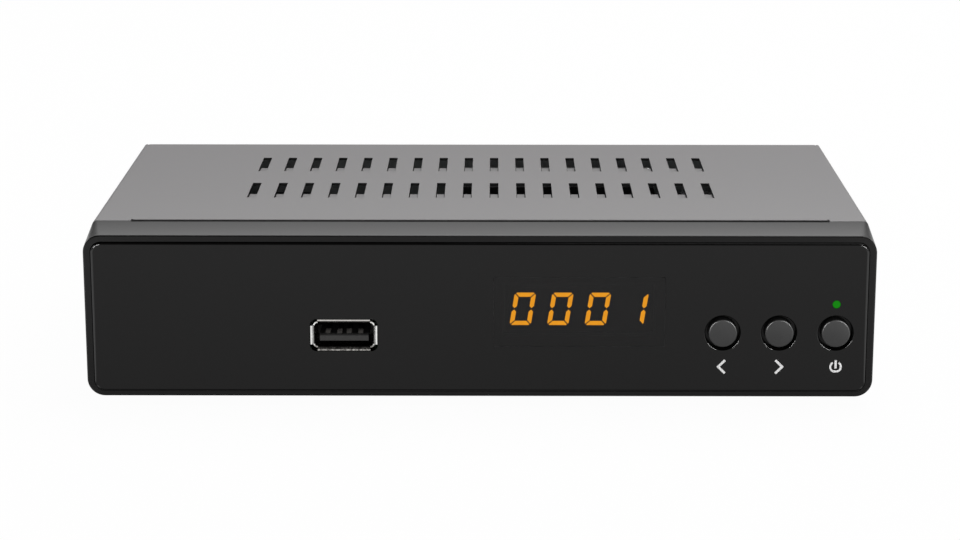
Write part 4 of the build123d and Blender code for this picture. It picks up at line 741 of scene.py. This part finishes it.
# The ring is half a turn less half its gap, screwed round from its lowest point and mirrored.
power_mark = upright_bar("power_mark", ring_stroke, ring_stroke, (0, 0, -ring_radius))
pick(power_mark, "VERT", lambda place: place.x > 0)
bpy.ops.mesh.delete(type="VERT")
bpy.ops.mesh.select_all(action="SELECT")
bpy.ops.transform.translate(value=(ring_stroke / 2, 0, 0))
bpy.ops.object.mode_set(mode="OBJECT")
sweep = power_mark.modifiers.new("sweep", "SCREW")
sweep.axis = "Y"
sweep.angle = math.radians(180 - ring_gap / 2)
sweep.steps = ring_steps
sweep.render_steps = ring_steps
apply_modifiers(power_mark)
mirrored(power_mark, (True, False, False))
bar_top = ring_radius + ring_stroke / 2 + bar_rise
bar = upright_bar("bar", bar_width, bar_length, (0, 0, bar_top - bar_length / 2))
bpy.ops.object.select_all(action="DESELECT")
bar.select_set(True)
power_mark.select_set(True)
bpy.context.view_layer.objects.active = power_mark
bpy.ops.object.join()
lay_ink(power_mark, "power_button", aside=0.2 * MM)

# ------------------------------------------------------------------ display
# Four digits of seven bars, cast in clear epoxy in a black body. Twenty bars are lit amber, and the other
# eight are as dark as the body, which swallows light so that the window shows no edge.
amber, tree, shader, place = finish("amber epoxy, lit", "201004", roughness=0.5, specular=0.1)
die_spacing = 1.6 * MM
die_spots = add_node(tree, "TexNoise", {}, {"Vector": place, "Scale": 1 / die_spacing, "Detail": 1.0})
glow = add_node(tree, "MapRange", {}, {
    "Value": die_spots, "From Min": 0.3, "From Max": 0.7, "To Min": 4.3, "To Max": 4.7})
shader.inputs["Emission Color"].default_value = linear("e29300")
tree.links.new(glow.outputs[0], shader.inputs["Emission Strength"])
give(amber, "lit_segments")

# The body and the dark bars carry a matt black ink with a fine fleck.
body_ink, tree, shader, place = finish(
    "matt black ink on the display", "030303", roughness=0.8, specular=0.02)
fleck_size = 0.2 * MM
fleck = add_node(tree, "TexNoise", {}, {"Vector": place, "Scale": 1 / fleck_size, "Detail": 2.0})
vary(tree, shader, fleck, depth=0.005 * MM)
give(body_ink, "display_housing", "unlit_segments")

# ------------------------------------------------------------------ standby light
# A green lamp on the front board, and a clear rod that carries its light to the face of the plate. The end
# of the rod is polished and glows a deep green. Its fading at the rim is painted shade from the hole round
# it.
green, tree, shader, place = finish("clear acrylic rod, lit green", "020502", roughness=0.3, specular=0.05)
guide_low, guide_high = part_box("light_guide")
guide_middle = (guide_low + guide_high) / 2
across = add_node(tree, "VectorMath", {"operation": "SUBTRACT"}, {0: place, 1: guide_middle})
across = add_node(tree, "VectorMath", {"operation": "MULTIPLY"}, {0: across, 1: (1, 0, 1)})
radius = add_node(tree, "VectorMath", {"operation": "LENGTH"}, {0: across}).outputs["Value"]
# Painted shade: the glow falls off towards the rod's rim.
glow = add_node(tree, "MapRange", eased, {
    "Value": radius, "From Min": 0.7 * MM, "From Max": 0.95 * MM, "To Min": 1.0, "To Max": 0.05})
shader.inputs["Emission Color"].default_value = linear("10800a")
tree.links.new(glow.outputs[0], shader.inputs["Emission Strength"])
give(green, "light_guide", "status_led")

# ------------------------------------------------------------------ buttons
# Three round caps of black ABS, crowned a little and lightly blasted, so that each carries one soft sheen.
# Fingers have rubbed them smoother in patches.
cap_plastic, tree, shader, place = finish("black ABS, satin caps", "1b1b1b", roughness=0.36, specular=0.45)
grain_size = 0.2 * MM
grain = add_node(tree, "TexNoise", {}, {"Vector": place, "Scale": 1 / grain_size, "Detail": 3.0})
vary(tree, shader, grain, depth=0.003 * MM)
patch_size = 3 * MM
rubbed = add_node(tree, "TexNoise", {}, {"Vector": place, "Scale": 1 / patch_size, "Detail": 2.0})
vary(tree, shader, rubbed, dullness=(0.3, 0.4))
give(cap_plastic, "channel_down_button", "channel_up_button", "power_button")

# ------------------------------------------------------------------ top cover
# One folded sheet of 0.6 mm steel with two rows of lanced vents, powder coated in a warm mid grey. The coat
# has the fine orange peel of its kind, about half a millimetre from crest to crest, and is satin.
powder, tree, shader, place = finish("grey powder coat on steel", "828081", roughness=0.5, specular=0.4)
peel_width = 0.5 * MM
peel = add_node(tree, "TexNoise", {}, {
    "Vector": place, "Scale": 1 / peel_width, "Detail": 3.0, "Roughness": 0.6})
vary(tree, shader, peel, depth=0.005 * MM)
# The vents' cut walls are painted near black, as the shade inside the slots.
cover_low, cover_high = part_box("top_cover")
vent_depth = 1.5 * MM
vents_half_width = 60 * MM
vents_middle_y = 5 * MM
vents_half_length = 30 * MM
steep = 0.5
spot = add_node(tree, "SeparateXYZ", {}, {0: place}).outputs
aside = add_node(tree, "Math", {"operation": "ABSOLUTE"}, {0: spot["X"]})
facing = add_node(tree, "SeparateXYZ", {}, {0: add_node(tree, "TexCoord").outputs["Normal"]}).outputs
leaning = add_node(tree, "Math", {"operation": "ABSOLUTE"}, {0: facing["Z"]})
upright = add_node(tree, "Math", {"operation": "LESS_THAN"}, {0: leaning, 1: steep})
vents_foot = cover_high.z - vent_depth
high_up = add_node(tree, "Math", {"operation": "GREATER_THAN"}, {0: spot["Z"], 1: vents_foot})
inward = add_node(tree, "Math", {"operation": "LESS_THAN"}, {0: aside, 1: vents_half_width})
between = add_node(tree, "Math", {"operation": "COMPARE"}, {
    0: spot["Y"], 1: vents_middle_y, 2: vents_half_length})
# The walls of the slots, which carry the painted shade.
cut = upright
for condition in (high_up, inward, between):
    cut = add_node(tree, "Math", {"operation": "MULTIPLY"}, {0: cut, 1: condition})
coat = add_node(tree, "Mix", {"data_type": "RGBA"}, {
    "Factor": cut, "A": linear("828081"), "B": linear("080707")}).outputs["Result"]
# The front fold is painted near black, as the shade in the seam where the cover meets the bezel.
fold_drop = 0.12 * MM
fold_depth = 5.42 * MM
fold_half_width = 76 * MM
fold_painted_shade = add_node(tree, "Math", {"operation": "LESS_THAN"}, {0: spot["Z"], 1: cover_high.z - fold_drop})
at_front = add_node(tree, "Math", {"operation": "LESS_THAN"}, {0: spot["Y"], 1: cover_low.y + fold_depth})
between_ends = add_node(tree, "Math", {"operation": "LESS_THAN"}, {0: aside, 1: fold_half_width})
for condition in (at_front, between_ends):
    fold_painted_shade = add_node(tree, "Math", {"operation": "MULTIPLY"}, {0: fold_painted_shade, 1: condition})
coat = add_node(tree, "Mix", {"data_type": "RGBA"}, {
    "Factor": fold_painted_shade, "A": coat, "B": linear("1c1b1b")}).outputs["Result"]
tree.links.new(coat, shader.inputs["Base Color"])
# The coat is a little smoother, and so glossier, towards the front.
sheen = add_node(tree, "MapRange", {}, {
    "Value": spot["Y"], "From Min": cover_low.y, "From Max": cover_high.y, "To Min": 0.4, "To Max": 0.555})
tree.links.new(sheen.outputs[0], shader.inputs["Roughness"])
give(powder, "top_cover")

# ------------------------------------------------------------------ cover screws
# Two self-tapping screws at the sides and two behind hold the cover. They are cold headed with a cross
# recess, rolled, and blackened over zinc, which is worn a little brighter where the driver has turned.
black_zinc, tree, shader, place = finish("black zinc plate", "2c2c2e", roughness=0.35, metallic=1.0)
scuff_size = 0.4 * MM
scuffs = add_node(tree, "TexNoise", {}, {"Vector": place, "Scale": 1 / scuff_size, "Detail": 3.0})
vary(tree, shader, scuffs, dullness=(0.25, 0.5))
give(black_zinc, "cover_screws")
head_radius = 2.8 * MM
head_height = 1.3 * MM
head_round = 0.75 * MM
shank_core = 1.1 * MM
shank_crest = 1.44 * MM
shank_pitch = 1.06 * MM
shank_length = 5.0 * MM
recess_span = 3.0 * MM
recess_width = 0.62 * MM
recess_depth = 0.95 * MM
recess_taper = 0.35

screw = upright_cylinder("cover_screw", head_radius, 0, head_height, sides=40)
pick(screw, "FACE", lambda place: place.z > head_height - hair)
bpy.ops.mesh.bevel(offset=head_round, segments=5)
tidy_shell()
shank = threaded_rod("shank", shank_core, shank_crest, shank_pitch, -shank_length, overlap, sides=20)
cut_by(screw, shank, "UNION")
for turn in (0, math.pi / 2):
    bpy.ops.object.select_all(action="DESELECT")
    bpy.ops.mesh.primitive_cube_add(size=1.0, location=(0, 0, head_height))
    blade = bpy.context.object
    blade.scale = (recess_span, recess_width, 2 * recess_depth)
    blade.rotation_euler = (0, 0, turn)
    bpy.ops.object.transform_apply(location=True, rotation=True, scale=True)
    pick(blade, "VERT", lambda place: place.z < head_height)
    bpy.ops.transform.resize(value=(recess_taper, recess_taper, 1),
                             center_override=(0, 0, head_height - recess_depth))
    tidy_shell()
    cut_by(screw, blade, "DIFFERENCE")
pick(screw, "VERT", lambda place: True)
tidy_shell()
screw.data.materials.append(black_zinc)
screws_low, screws_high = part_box("cover_screws")
side_y = screws_low.y + head_radius
side_z = screws_low.z + head_radius
rear_x = 73.0 * MM
rear_y = screws_high.y - head_height
rear_z = screws_high.z - head_radius
quarter = math.pi / 2
for name, turn, place in (
        ("left_cover_screw", (0, -quarter, 0), (screws_low.x + head_height, side_y, side_z)),
        ("right_cover_screw", (0, quarter, 0), (screws_high.x - head_height, side_y, side_z)),
        ("left_rear_screw", (-quarter, 0, 0), (-rear_x, rear_y, rear_z)),
        ("right_rear_screw", (-quarter, 0, 0), (rear_x, rear_y, rear_z))):
    copy = bpy.data.objects.new(name, screw.data.copy())
    scene.collection.objects.link(copy)
    settle(copy, turn, place)
    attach(copy, "root")
    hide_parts("cover_screws")
bpy.data.objects.remove(screw, do_unlink=True)
